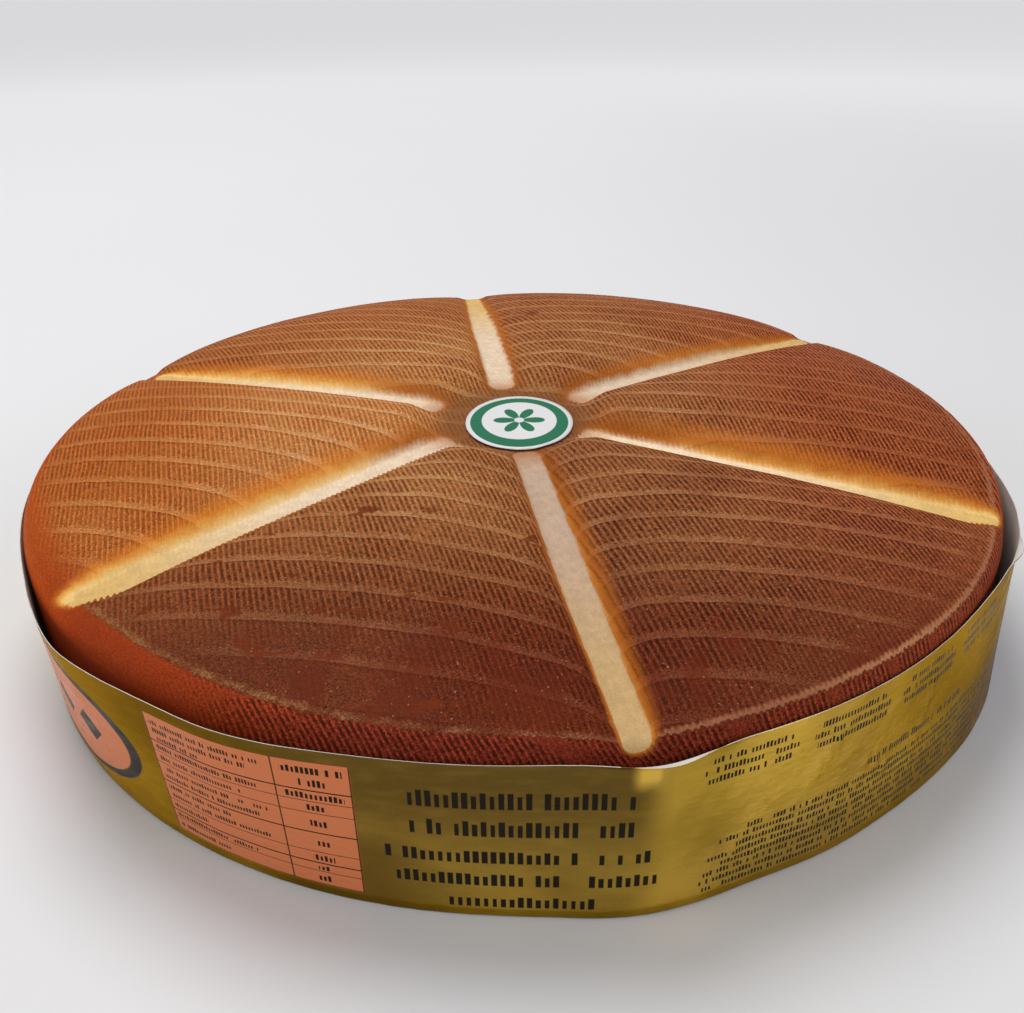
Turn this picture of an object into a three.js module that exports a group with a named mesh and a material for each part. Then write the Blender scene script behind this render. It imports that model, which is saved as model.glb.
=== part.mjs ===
// A whole wheel of wood-smoked raclette cheese, wrapped in its gold paper band, with an oval label on top.
// Millimetres, +Z up. The origin is the centre of the flat underside, and -Y is the front.
import * as THREE from "three";
import { mergeVertices } from "three/addons/utils/BufferGeometryUtils.js";

// Driving dimensions.
const WHEEL_RADIUS = 166.4; // the rind at its widest
const FRONT_SWELL = 1.5; // the wheel is this much fuller at the front, and as much flatter at the back
const CREST_INSET = 3.6; // from the widest rind in to the crest round the top
const BROAD_BEVEL = { at: 226, more: 3.6, spread: 24 }; // where the rounded top edge is broader: azimuth, mm, degrees
const BEVEL_FOOT = 47.5; // the rounded top edge ends here, and the straight side begins
const TAPER_START = 25; // below this height the side draws in
const FOOT_RADIUS = 159; // where the tapered side meets the rounded bottom edge
const FOOT_HEIGHT = 3.1;
const BASE_RADIUS = 147; // the flat underside

// Six grooves run out from the hub, where the rods of the smoking rack carried the cheese.
// The soft cheese sagged between the rods, so every sector stands up as a low pillow.
const GROOVE_AZIMUTHS = [35, 97, 159, 221.4, 279.2, 333.5];
const FLOOR_AT_HUB = 57.5; // height of a groove's floor at the hub, and at the crest
const FLOOR_AT_CREST = 52.2;
const FLOOR_HALF_WIDTH = 3.4; // the flat floor, out to where the steep shoulder starts
const SHOULDER_WIDTH = 4.5;
const SHOULDER_RISE = 2.5;
const PILLOW_RISE = 7; // how far the pillow goes on rising beyond the shoulder, and over what distance
const PILLOW_REACH = 18;
const PILLOW_START = 25; // between these two radii the pillows rise out of the flat hub
const PILLOW_FULL = 40;
const CREST_SHARE = 0.35; // the part of a pillow's height that is left at the crest
const CREST_FALL = 6; // a high power keeps the pillows up until they near the crest

// The gold paper band.
const BAND_BOTTOM = 0.6;
const BAND_TOP = 49.9;
const BAND_GAP = 0.5; // from the rind to the paper where the band is tight
const BAND_THICKNESS = 0.5;
const LAP_AZIMUTH = 96; // the glued lap, at the back
const LAP_HALF_ANGLE = 3.2;
const LAP_STEP = 0.35;
// Places where the paper stands off the rind: azimuth and spread in degrees, distance in mm.
const TOP_BULGES = [
  { at: 227, out: 4.6, spread: 11 },
  { at: 246, out: 2.6, spread: 8 },
  { at: 280.5, out: 2.4, spread: 5 },
  { at: 336, out: 3.4, spread: 12 },
  { at: 45, out: 1.1, spread: 14 },
  { at: 130, out: 1.4, spread: 12 },
];
const BOTTOM_BULGES = [
  { at: 281, out: 3.0, spread: 8 },
  { at: 298, out: 1.2, spread: 9 },
  { at: 330, out: 6.0, spread: 22 },
  { at: 35, out: 1.6, spread: 16 },
  { at: 130, out: 2.2, spread: 16 },
];

// The oval label at the hub.
const LABEL_HALF_WIDTH = 19.5;
const LABEL_HALF_LENGTH = 23;
const LABEL_CENTRE = { x: 2.6, y: -4.4 };
const LABEL_GAP = 0.3;
const LABEL_THICKNESS = 0.4;

const radians = THREE.MathUtils.degToRad;
const smooth = THREE.MathUtils.smoothstep;
const UP = new THREE.Vector3(0, 0, 1);

// The smallest turn between two azimuths, in degrees.
function turnBetween(a, b) {
  const turn = (((a - b) % 360) + 360) % 360;
  return Math.min(turn, 360 - turn);
}

function wheelRadius(azimuth) {
  return WHEEL_RADIUS + FRONT_SWELL * Math.cos(radians(azimuth - 270));
}

function crestInset(azimuth) {
  const away = turnBetween(azimuth, BROAD_BEVEL.at) / BROAD_BEVEL.spread;
  return CREST_INSET + BROAD_BEVEL.more * Math.exp(-(away ** 2));
}

function crestRadius(azimuth) {
  return wheelRadius(azimuth) - crestInset(azimuth);
}

// Distance from a point to the middle of the nearest groove.
function grooveDistance(radius, azimuth) {
  const nearest = Math.min(...GROOVE_AZIMUTHS.map((g) => turnBetween(azimuth, g)));
  return radius * Math.sin(radians(Math.min(nearest, 90)));
}

// Height of the top face: the bowed level of the groove floors, and the six pillows standing on it.
function topHeight(radius, azimuth) {
  const out = Math.min(radius / crestRadius(azimuth), 1);
  const floor = THREE.MathUtils.lerp(FLOOR_AT_HUB, FLOOR_AT_CREST, out ** 2);
  const beyond = Math.max(grooveDistance(radius, azimuth) - FLOOR_HALF_WIDTH, 0);
  const shoulder = SHOULDER_RISE * smooth(beyond, 0, SHOULDER_WIDTH);
  const pillow = PILLOW_RISE * (1 - Math.exp(-beyond / PILLOW_REACH));
  const share = smooth(radius, PILLOW_START, PILLOW_FULL) * (1 - (1 - CREST_SHARE) * out ** CREST_FALL);
  return floor + (shoulder + pillow) * share;
}

// A lathed shape about +Z with its seam and poles welded, so that its points can be moved one by one.
function lathe(profile, columns) {
  const geometry = new THREE.LatheGeometry(profile, columns);
  geometry.rotateX(Math.PI / 2);
  geometry.deleteAttribute("normal");
  geometry.deleteAttribute("uv");
  return mergeVertices(geometry, 1e-4);
}

// Moves every point of a geometry to where place(radius, azimuth, height) puts it.
function movePoints(geometry, place) {
  const points = geometry.getAttribute("position");
  for (let i = 0; i < points.count; i += 1) {
    const radius = Math.hypot(points.getX(i), points.getY(i));
    const azimuth = (THREE.MathUtils.radToDeg(Math.atan2(points.getY(i), points.getX(i))) + 360) % 360;
    const to = place(radius, azimuth, points.getZ(i));
    points.setXYZ(i, to.x, to.y, to.z);
  }
  geometry.computeVertexNormals();
  return geometry;
}

function polar(radius, azimuth, height) {
  return new THREE.Vector3(radius, 0, height).applyAxisAngle(UP, radians(azimuth));
}

// Columns of points follow each groove at fixed distances from its middle, and share the sector between evenly.
const BESIDE_GROOVE = [0, 1.8, 3.4, 4.9, 6.4, 7.9, 11, 16];
const BETWEEN_GROOVES = 8;
const COLUMNS_PER_SECTOR = 2 * BESIDE_GROOVE.length - 1 + BETWEEN_GROOVES;
const COLUMNS = COLUMNS_PER_SECTOR * GROOVE_AZIMUTHS.length;

function columnAzimuth(column, radius) {
  const sector = Math.floor(column / COLUMNS_PER_SECTOR) % GROOVE_AZIMUTHS.length;
  const step = column % COLUMNS_PER_SECTOR;
  const start = GROOVE_AZIMUTHS[sector];
  const width = (GROOVE_AZIMUTHS[(sector + 1) % GROOVE_AZIMUTHS.length] - start + 360) % 360;
  const shrink = Math.min(1, radius / PILLOW_FULL);
  const turnAt = (distance) => THREE.MathUtils.radToDeg(Math.asin((distance * shrink) / Math.max(radius, 1)));
  const last = BESIDE_GROOVE.length - 1;
  if (step <= last) return start + turnAt(BESIDE_GROOVE[step]);
  if (step >= COLUMNS_PER_SECTOR - last) return start + width - turnAt(BESIDE_GROOVE[COLUMNS_PER_SECTOR - step]);
  const clear = turnAt(BESIDE_GROOVE[last]);
  return start + clear + ((width - 2 * clear) * (step - last)) / (BETWEEN_GROOVES + 1);
}

// Half of the wheel's section before the outline and the relief are put on it.
// It runs from the middle of the underside out, up the side to the crest, and back over the top to the hub.
function cheeseProfile() {
  const point = (radius, height) => new THREE.Vector2(radius, height);
  const section = [
    point(0, 0),
    point(BASE_RADIUS * 0.5, 0),
    point(BASE_RADIUS, 0),
    point((BASE_RADIUS + FOOT_RADIUS) / 2, FOOT_HEIGHT * 0.3),
    point(FOOT_RADIUS, FOOT_HEIGHT),
  ];
  const taperSteps = 4;
  for (let i = 1; i <= taperSteps; i += 1) {
    const t = i / taperSteps;
    const draw = Math.sin((t * Math.PI) / 2);
    const radius = THREE.MathUtils.lerp(FOOT_RADIUS, WHEEL_RADIUS, draw);
    section.push(point(radius, THREE.MathUtils.lerp(FOOT_HEIGHT, TAPER_START, t)));
  }
  section.push(point(WHEEL_RADIUS, BEVEL_FOOT));
  const bevelSteps = 4;
  for (let i = 1; i <= bevelSteps; i += 1) section.push(point(WHEEL_RADIUS, BEVEL_FOOT + i));
  const ringGap = 4.9;
  const rings = Math.round(WHEEL_RADIUS / ringGap);
  for (let i = rings - 1; i >= 0; i -= 1) section.push(point((WHEEL_RADIUS * i) / rings, BEVEL_FOOT + bevelSteps));
  return { section, bevelSteps };
}

function cheese() {
  const evenStep = 360 / COLUMNS;
  const { section, bevelSteps } = cheeseProfile();
  const geometry = movePoints(lathe(section, COLUMNS), (radius, azimuth, height) => {
    const onTop = height > BEVEL_FOOT + bevelSteps - 0.5;
    const column = Math.round(azimuth / evenStep) % COLUMNS;
    const out = radius / WHEEL_RADIUS;
    if (onTop) {
      // The flat disc of the section is shrunk to the crest and given its relief.
      const turned = columnAzimuth(column, radius);
      const reach = out * crestRadius(turned);
      return polar(reach, turned, topHeight(reach, turned));
    }
    const turned = columnAzimuth(column, WHEEL_RADIUS);
    if (height > BEVEL_FOOT + 0.5) {
      // A quarter of an ellipse rounds the edge over, from the straight side to the crest.
      const turn = (((height - BEVEL_FOOT) / bevelSteps) * Math.PI) / 2;
      const crest = topHeight(crestRadius(turned), turned);
      const edge = crestRadius(turned) + crestInset(turned) * Math.cos(turn);
      return polar(edge, turned, BEVEL_FOOT + (crest - BEVEL_FOOT) * Math.sin(turn));
    }
    return polar(out * wheelRadius(turned), turned, height);
  });
  const rind = new THREE.MeshStandardMaterial({ color: 0x8a4a26, roughness: 0.62, metalness: 0 });
  const mesh = new THREE.Mesh(geometry, rind);
  mesh.name = "cheese";
  return mesh;
}

function bulgeAt(bulges, azimuth) {
  return bulges.reduce((sum, b) => sum + b.out * Math.exp(-((turnBetween(azimuth, b.at) / b.spread) ** 2)), 0);
}

// Radius of the paper's inner face: tight round the rind, and standing off where the paper bulges.
function bandInnerRadius(azimuth, height) {
  const up = THREE.MathUtils.inverseLerp(BAND_BOTTOM, BAND_TOP, height);
  const out = THREE.MathUtils.lerp(bulgeAt(BOTTOM_BULGES, azimuth), bulgeAt(TOP_BULGES, azimuth), up);
  return wheelRadius(azimuth) + BAND_GAP + out;
}

function band() {
  const columns = 180;
  const levels = 2;
  const inner = WHEEL_RADIUS + BAND_GAP;
  const outer = inner + BAND_THICKNESS;
  const profile = [];
  for (let i = 0; i <= levels; i += 1) {
    profile.push(new THREE.Vector2(outer, THREE.MathUtils.lerp(BAND_BOTTOM, BAND_TOP, i / levels)));
  }
  for (let i = levels; i >= 0; i -= 1) {
    profile.push(new THREE.Vector2(inner, THREE.MathUtils.lerp(BAND_BOTTOM, BAND_TOP, i / levels)));
  }
  profile.push(profile[0].clone());
  const geometry = movePoints(lathe(profile, columns), (radius, azimuth, height) => {
    const outside = radius > (inner + outer) / 2;
    const lapped = outside && turnBetween(azimuth, LAP_AZIMUTH) < LAP_HALF_ANGLE;
    const skin = (outside ? BAND_THICKNESS : 0) + (lapped ? LAP_STEP : 0);
    return polar(bandInnerRadius(azimuth, height) + skin, azimuth, height);
  });
  const gold = new THREE.MeshStandardMaterial({ color: 0xa98f36, roughness: 0.38, metalness: 0.8 });
  const mesh = new THREE.Mesh(geometry, gold);
  mesh.name = "band";
  return mesh;
}

function label() {
  const columns = 44;
  const rings = 5;
  const profile = [];
  for (let i = 0; i <= rings; i += 1) profile.push(new THREE.Vector2(i / rings, 0));
  for (let i = rings; i >= 0; i -= 1) profile.push(new THREE.Vector2(i / rings, LABEL_THICKNESS));
  const geometry = movePoints(lathe(profile, columns), (radius, azimuth, height) => {
    const flat = polar(radius, azimuth, 0);
    const x = LABEL_CENTRE.x + flat.x * LABEL_HALF_WIDTH;
    const y = LABEL_CENTRE.y + flat.y * LABEL_HALF_LENGTH;
    const under = topHeight(Math.hypot(x, y), THREE.MathUtils.radToDeg(Math.atan2(y, x)));
    return new THREE.Vector3(x, y, under + LABEL_GAP + height);
  });
  const paper = new THREE.MeshStandardMaterial({ color: 0xe6e4e0, roughness: 0.45, metalness: 0 });
  const mesh = new THREE.Mesh(geometry, paper);
  mesh.name = "label";
  return mesh;
}

// The whole is set so that the middle of its bounding box lies over the origin.
function centred(parts) {
  const box = new THREE.Box3();
  for (const part of parts) {
    part.geometry.computeBoundingBox();
    box.union(part.geometry.boundingBox);
  }
  const middle = box.getCenter(new THREE.Vector3());
  for (const part of parts) part.geometry.translate(-middle.x, -middle.y, 0);
  return parts;
}

const wheel = new THREE.Group();
wheel.add(...centred([cheese(), band(), label()]));

export default wheel;
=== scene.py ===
# %% [markdown]
# # A whole smoked raclette cheese in its gold paper band
#
# The cheese is a low round loaf. While it was smoked it lay on a rack of six rods that meet in the middle,
# over a coarse cloth. The soft cheese sagged between the rods, so its top face now has six grooves between
# six pillows. The smoke could not reach the grooves, and they stayed cream. The cloth left rows and fine ribs
# in the rind. A gold paper band runs round the side, and an oval label sits on the hub.
#
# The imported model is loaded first. It gives the true size, and the new pieces have to stay inside its box.

# %% Load the frame
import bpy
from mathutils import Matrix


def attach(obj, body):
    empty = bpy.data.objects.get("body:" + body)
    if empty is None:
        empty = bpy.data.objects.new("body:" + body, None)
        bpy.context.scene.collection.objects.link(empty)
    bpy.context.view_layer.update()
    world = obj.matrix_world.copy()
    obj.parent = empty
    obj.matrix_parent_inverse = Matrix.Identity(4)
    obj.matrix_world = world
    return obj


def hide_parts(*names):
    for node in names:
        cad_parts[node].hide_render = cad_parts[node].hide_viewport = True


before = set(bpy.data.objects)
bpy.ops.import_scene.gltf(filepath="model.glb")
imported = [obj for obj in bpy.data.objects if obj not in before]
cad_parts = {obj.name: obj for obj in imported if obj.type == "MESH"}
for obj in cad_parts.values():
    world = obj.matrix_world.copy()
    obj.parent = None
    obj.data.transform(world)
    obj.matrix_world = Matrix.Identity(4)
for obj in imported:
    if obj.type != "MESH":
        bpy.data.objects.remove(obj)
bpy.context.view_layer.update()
print("CAD nodes:", sorted(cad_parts))

# %% Modules and units
import math
import bpy
import numpy as np
from mathutils import Matrix, Vector, noise

MM = 0.001
# The wheel's axis stands a little off the frame's origin, because the paper bulges more on one side.
AXIS = Vector((-0.591, 2.049, 0)) * MM

# %% [markdown]
# ## The camera
#
# The photograph was taken from above the front edge of the wheel, close by, looking down at about thirty
# degrees. A camera can be aimed by eye, but here its place was worked out from the two edges of the band and
# the grooves, so it is set with numbers: where it stands, how far it looks down, and how far it leans to one
# side.

# %% Camera
CAMERA_BACK = 325.2 * MM
CAMERA_UP = 204.3 * MM
LOOK_DOWN = math.radians(29.55)
LOOK_LEFT = math.radians(0.07)
LEAN = math.radians(0.68)
LENS = 33.97

forward = Vector((-math.sin(LOOK_LEFT) * math.cos(LOOK_DOWN), math.cos(LOOK_DOWN), -math.sin(LOOK_DOWN)))
level_right = forward.cross(Vector((0, 0, 1))).normalized()
level_down = forward.cross(level_right)
right = math.cos(LEAN) * level_right + math.sin(LEAN) * level_down
up = math.sin(LEAN) * level_right - math.cos(LEAN) * level_down

camera_data = bpy.data.cameras.new("camera")
camera_data.lens = LENS
camera_data.sensor_width = 36
camera = bpy.data.objects.new("camera", camera_data)
bpy.context.scene.collection.objects.link(camera)
turn = Matrix((right, up, -forward)).transposed()
camera.matrix_world = Matrix.Translation(AXIS + Vector((0, -CAMERA_BACK, CAMERA_UP))) @ turn.to_4x4()
bpy.context.scene.camera = camera
print("camera at", [round(v, 4) for v in camera.location])

# %% [markdown]
# ## Sizes of the wheel
#
# Every size that shapes the wheel has a name here, in millimetres or degrees. Azimuth 0 points right in the
# photograph and 270 points to the viewer. The sizes of the whole wheel stand in the solid model too, under
# the same names. The crest's drop at the right, the wider floor of one groove and the bend of another are
# finer than the solids need, and are this scene's own.

# %% Sizes
WHEEL_RADIUS = 166.4
FRONT_SWELL = 1.5
CREST_INSET = 3.6
BROAD_BEVEL_AT = 226
BROAD_BEVEL_MORE = 3.6
BROAD_BEVEL_SPREAD = 24
CREST_DROP = 0.36
CREST_DROP_STARTS = (268, 286)
CREST_DROP_ENDS = (312, 345)
BEVEL_FOOT = 47.5
TAPER_START = 25
FOOT_RADIUS = 159
FOOT_HEIGHT = 3.1
BASE_RADIUS = 147
GROOVES = [35, 97, 159, 221.4, 279.2, 333.5]
FLOOR_AT_HUB = 57.5
FLOOR_AT_CREST = 52.2
FLOOR_HALF_WIDTH = 3.4
SHOULDER_WIDTH = 4.5
SHOULDER_RISE = 2.5
# The front-left groove has more flat floor on its front side, and the right groove is not quite straight.
WIDE_GROOVE = 221.4
WIDE_BY = 1.5
BENT_GROOVE = 333.5
BEND_FROM = -1.2
BEND_BY = 4.4
BEND_STARTS = 40
BEND_RUN = 123
PILLOW_RISE = 6.9
PILLOW_REACH = 18
PILLOW_START = 25
PILLOW_FULL = 40
CREST_SHARE = 0.35
CREST_FALL = 6


def turn_between(a, b):
    """The smallest turn between two azimuths, in degrees."""
    return np.abs((a - b + 180) % 360 - 180)


def smooth_step(value, low, high):
    t = np.clip((value - low) / (high - low), 0, 1)
    return t * t * (3 - 2 * t)


def wheel_radius(azimuth):
    return WHEEL_RADIUS + FRONT_SWELL * np.cos(np.radians(azimuth - 270))


def crest_inset(azimuth):
    away = turn_between(azimuth, BROAD_BEVEL_AT) / BROAD_BEVEL_SPREAD
    return CREST_INSET + BROAD_BEVEL_MORE * np.exp(-away * away)


def crest_radius(azimuth):
    return wheel_radius(azimuth) - crest_inset(azimuth)


def crest_drop(azimuth):
    """How far down the rounded edge the cloth's print reaches at the right, as a share of the edge."""
    started = smooth_step(azimuth % 360, *CREST_DROP_STARTS)
    return CREST_DROP * started * (1 - smooth_step(azimuth % 360, *CREST_DROP_ENDS))


print("crest radius at the front:", round(float(crest_radius(270)), 1), "mm")

# %% [markdown]
# ## Working with operators in a script
#
# An operator acts on whatever is selected, just as it does under the mouse. A script therefore clears the
# selection first and then picks its own piece. These small helpers do that, and finish a piece: its object
# goes to the origin with its place kept in its mesh, and its faces are shaded smooth.

# %% Selecting and finishing
def pick(piece):
    """Leaves one piece selected and active."""
    if bpy.context.object and bpy.context.object.mode != "OBJECT":
        bpy.ops.object.mode_set(mode="OBJECT")
    bpy.ops.object.select_all(action="DESELECT")
    piece.select_set(True)
    bpy.context.view_layer.objects.active = piece


def name_new_piece(name):
    piece = bpy.context.object
    piece.name = name
    piece.data.name = name
    return piece


def read_points(piece):
    points = np.empty(len(piece.data.vertices) * 3)
    piece.data.vertices.foreach_get("co", points)
    return points.reshape(-1, 3)


def write_points(piece, points):
    piece.data.vertices.foreach_set("co", np.ascontiguousarray(points, dtype=np.float64).ravel())
    piece.data.update()


def store(piece, name, values):
    """Keeps one number for each point of the mesh, for the materials to read."""
    layer = piece.data.attributes.new(name, "FLOAT", "POINT")
    layer.data.foreach_set("value", np.ascontiguousarray(values, dtype=np.float32))


def settle(piece):
    """Moves a finished piece onto the wheel's axis, applies its place and smooths its faces."""
    pick(piece)
    piece.location = AXIS
    bpy.ops.object.transform_apply(location=True, rotation=True, scale=True)
    bpy.ops.object.shade_smooth()
    print(piece.name, "has", len(piece.data.polygons), "faces")


# %% [markdown]
# ## The cheese: a section spun round the axis
#
# A round loaf could start from a cylinder, but its rounded foot, its drawn-in side and its rounded top edge
# are easier to draw as half a section, from the middle of the underside, out, up and back to the hub. One
# vertex is extruded along that line, and Spin turns it through a full circle. The top edge is spun square
# here, and the top face flat: both are shaped afterwards, when every point knows how far round the wheel it
# is.

# %% Section of the wheel
RING_GAP = 1.5
BEVEL_STEPS = 9
SIDE_MIDDLE = 40


def section_points():
    """Radius and height of each point of half a section, in millimetres."""
    line = [(r, 0) for r in np.linspace(0, BASE_RADIUS, 5)]
    for t in (0.2, 0.4, 0.6, 0.8, 1.0):
        bend = t * math.pi / 2
        foot_out = BASE_RADIUS + (FOOT_RADIUS - BASE_RADIUS) * math.sin(bend)
        line.append((foot_out, FOOT_HEIGHT * (1 - math.cos(bend))))
    for t in (0.2, 0.4, 0.6, 0.8, 1.0):
        side_out = FOOT_RADIUS + (WHEEL_RADIUS - FOOT_RADIUS) * math.sin(t * math.pi / 2)
        line.append((side_out, FOOT_HEIGHT + (TAPER_START - FOOT_HEIGHT) * t))
    line.append((WHEEL_RADIUS, SIDE_MIDDLE))
    line.append((WHEEL_RADIUS, BEVEL_FOOT))
    for step in range(1, BEVEL_STEPS + 1):
        line.append((WHEEL_RADIUS, BEVEL_FOOT + step))
    rings = round(WHEEL_RADIUS / RING_GAP)
    for ring in range(rings - 1, -1, -1):
        line.append((WHEEL_RADIUS * ring / rings, BEVEL_FOOT + BEVEL_STEPS))
    return line


section = section_points()
print("points in the section:", len(section))

# %% Columns round the wheel
# The columns of faces follow the grooves at fixed distances, so that the steep shoulders stay clean and
# straight.
BESIDE_GROOVE = [0, 0.8, 1.6, 2.4, 3.2, 3.9, 4.6, 5.3, 6.0, 6.7, 7.4, 8.2, 9.2, 10.4, 12, 14, 16.5, 19.5, 23]
BETWEEN_GROOVES = 36
# Nearer the hub than this the columns draw together, so that those of two grooves never cross.
SQUEEZED_WITHIN = 60
COLUMNS_PER_SECTOR = 2 * len(BESIDE_GROOVE) - 1 + BETWEEN_GROOVES
COLUMNS = COLUMNS_PER_SECTOR * len(GROOVES)
print("columns round the wheel:", COLUMNS)

# %% Extrude and spin
deg = np.degrees
bpy.ops.object.select_all(action="DESELECT")
bpy.ops.mesh.primitive_plane_add(size=0.01, location=(0, 0, 0))
wheel = name_new_piece("cheese_wheel")
bpy.ops.object.mode_set(mode="EDIT")
bpy.ops.mesh.merge(type="CENTER")
for (r0, z0), (r1, z1) in zip(section, section[1:]):
    step = ((r1 - r0) * MM, 0, (z1 - z0) * MM)
    bpy.ops.mesh.extrude_region_move(TRANSFORM_OT_translate={"value": step})
bpy.ops.mesh.select_all(action="SELECT")
bpy.ops.mesh.spin(steps=COLUMNS, angle=2 * math.pi, center=(0, 0, 0), axis=(0, 0, 1))
bpy.ops.mesh.select_all(action="SELECT")
bpy.ops.mesh.remove_doubles(threshold=0.000004)
bpy.ops.mesh.normals_make_consistent(inside=False)
bpy.ops.object.mode_set(mode="OBJECT")
print("spun wheel:", len(wheel.data.vertices), "points")

# %% [markdown]
# ## The cheese: edge, grooves and pillows
#
# Proportional editing could push the pillows up by hand, but they follow a plain rule, so the points are
# moved by that rule. Far from a groove a pillow stands about nine millimetres over the groove's floor. Close
# to the groove it falls away quickly, and the last steep bit is the mark of the rod itself. Towards the rim
# and the hub the pillows sink back, and a quarter of an ellipse rounds the edge over, more broadly at the
# front left.

# %% Height of the top face
def groove_bend(groove, radius):
    """How far a groove's middle strays from a straight spoke, in millimetres."""
    bent = BEND_FROM + BEND_BY * np.clip((radius - BEND_STARTS) / BEND_RUN, 0, 1.1) ** 1.5
    return np.where(groove == GROOVES.index(BENT_GROOVE), bent * smooth_step(radius, 20, 45), 0)


def groove_reach(radius, azimuth):
    """Signed distance across the nearest groove in millimetres, and which groove it is."""
    turns = np.stack([(azimuth - g + 180) % 360 - 180 for g in GROOVES])
    nearest = np.abs(turns).argmin(axis=0)
    turn = np.take_along_axis(turns, nearest[None], axis=0)[0]
    return radius * np.sin(np.radians(np.clip(turn, -90, 90))) - groove_bend(nearest, radius), nearest


def top_height(radius, azimuth):
    out = np.minimum(radius / crest_radius(azimuth), 1)
    floor = FLOOR_AT_HUB + (FLOOR_AT_CREST - FLOOR_AT_HUB) * out**2
    across, nearest = groove_reach(radius, azimuth)
    wide_side = (nearest == GROOVES.index(WIDE_GROOVE)) & (across > 0)
    half_floor = FLOOR_HALF_WIDTH + np.where(wide_side, WIDE_BY * smooth_step(radius, 40, 90), 0)
    beyond = np.maximum(np.abs(across) - half_floor, 0)
    shoulder = SHOULDER_RISE * smooth_step(beyond, 0, SHOULDER_WIDTH)
    pillow = PILLOW_RISE * (1 - np.exp(-beyond / PILLOW_REACH))
    share = smooth_step(radius, PILLOW_START, PILLOW_FULL) * (1 - (1 - CREST_SHARE) * out**CREST_FALL)
    return floor + (shoulder + pillow) * share


def column_azimuth(column, radius):
    """Where a column of points stands at a given radius."""
    sector = (column // COLUMNS_PER_SECTOR) % len(GROOVES)
    step = column % COLUMNS_PER_SECTOR
    starts = np.array(GROOVES)
    widths = (np.roll(starts, -1) - starts) % 360
    beside = np.array(BESIDE_GROOVE)
    last = len(beside) - 1
    shrink = np.minimum(1, radius / SQUEEZED_WITHIN)
    safe_radius = np.maximum(radius, 1)

    left_bend = groove_bend(sector, radius)
    right_bend = groove_bend((sector + 1) % len(GROOVES), radius)

    def turn_at(distance, bend):
        return deg(np.arcsin(np.clip((distance * shrink + bend) / safe_radius, -1, 1)))

    clear_left = turn_at(beside[last], left_bend)
    clear_right = turn_at(beside[last], -right_bend)
    from_left = turn_at(beside[np.minimum(step, last)], left_bend)
    from_right = widths[sector] - turn_at(beside[np.clip(COLUMNS_PER_SECTOR - step, 0, last)], -right_bend)
    free = widths[sector] - clear_left - clear_right
    between = clear_left + free * (step - last) / (BETWEEN_GROOVES + 1)
    turn = np.where(step <= last, from_left, np.where(step >= COLUMNS_PER_SECTOR - last, from_right, between))
    return starts[sector] + turn


mid_pillow = top_height(np.array([100.0]), np.array([250.0]))[0]
print("height of a pillow at mid radius:", round(float(mid_pillow), 1), "mm")

# %% Shape the wheel
points = read_points(wheel) / MM
radius = np.hypot(points[:, 0], points[:, 1])
spun_azimuth = deg(np.arctan2(points[:, 1], points[:, 0])) % 360
column = np.round(spun_azimuth / (360 / COLUMNS)).astype(int) % COLUMNS
height = points[:, 2]

on_top = height > BEVEL_FOOT + BEVEL_STEPS - 0.5
column_radius = np.where(on_top, radius, WHEEL_RADIUS)
azimuth = column_azimuth(column, column_radius)
out = radius / WHEEL_RADIUS
top_radius = out * crest_radius(azimuth)

bevel = np.clip((height - BEVEL_FOOT) / BEVEL_STEPS, 0, 1)
crest = top_height(crest_radius(azimuth), azimuth)
edge_radius = crest_radius(azimuth) + crest_inset(azimuth) * np.cos(bevel * math.pi / 2)
edge_height = BEVEL_FOOT + (crest - BEVEL_FOOT) * np.sin(bevel * math.pi / 2)
on_edge = (height > BEVEL_FOOT + 0.5) & ~on_top

new_radius = np.where(on_top, top_radius, np.where(on_edge, edge_radius, out * wheel_radius(azimuth)))
new_height = np.where(on_top, top_height(top_radius, azimuth), np.where(on_edge, edge_height, height))
print("points on the top face:", int(on_top.sum()), "and on the rounded edge:", int(on_edge.sum()))

# %% Hand-made unevenness
# No two pillows are quite alike: a slow noise sinks the top by a fraction of a millimetre, and a quicker one
# by less than that.
SLOW_DEPTH = 0.45
SLOW_WIDTH = 34
QUICK_DEPTH = 0.12
QUICK_WIDTH = 9


def plan_noise(width, layer):
    """A smooth noise over the plan of the wheel, with swells of about the given width in millimetres."""
    return np.array([noise.noise(Vector((x / width, y / width, layer))) for x, y in zip(plan_x, plan_y)])


plan_x = new_radius * np.cos(np.radians(azimuth))
plan_y = new_radius * np.sin(np.radians(azimuth))
slow = plan_noise(SLOW_WIDTH, 3.7)
quick = plan_noise(QUICK_WIDTH, 8.1)
sunk = SLOW_DEPTH * (0.5 + 0.5 * slow) + QUICK_DEPTH * (0.5 + 0.5 * quick)
new_height -= np.where(on_top | on_edge, sunk, 0)
write_points(wheel, np.stack([plan_x, plan_y, new_height], axis=1) * MM)
print("top of the wheel at", round(float(new_height.max()), 2), "mm")

# %% [markdown]
# ## The cheese: numbers that the rind's finish needs
#
# The colours of the rind follow the grooves and the crest, and no ready-made texture knows where those are.
# So each point keeps a few numbers: how far it is from the groove's middle line, how far down the rounded
# edge it is, and how the cream, the soft border and the orange glow beside its groove should look. The
# material reads them by name.
#
# The two sides of a groove differ. The rods lay a little aslant, so on one side the cream ends sharply at the
# lip, cut by the ribs like a fine saw, and on the other it runs out softly through yellow and orange.

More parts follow.
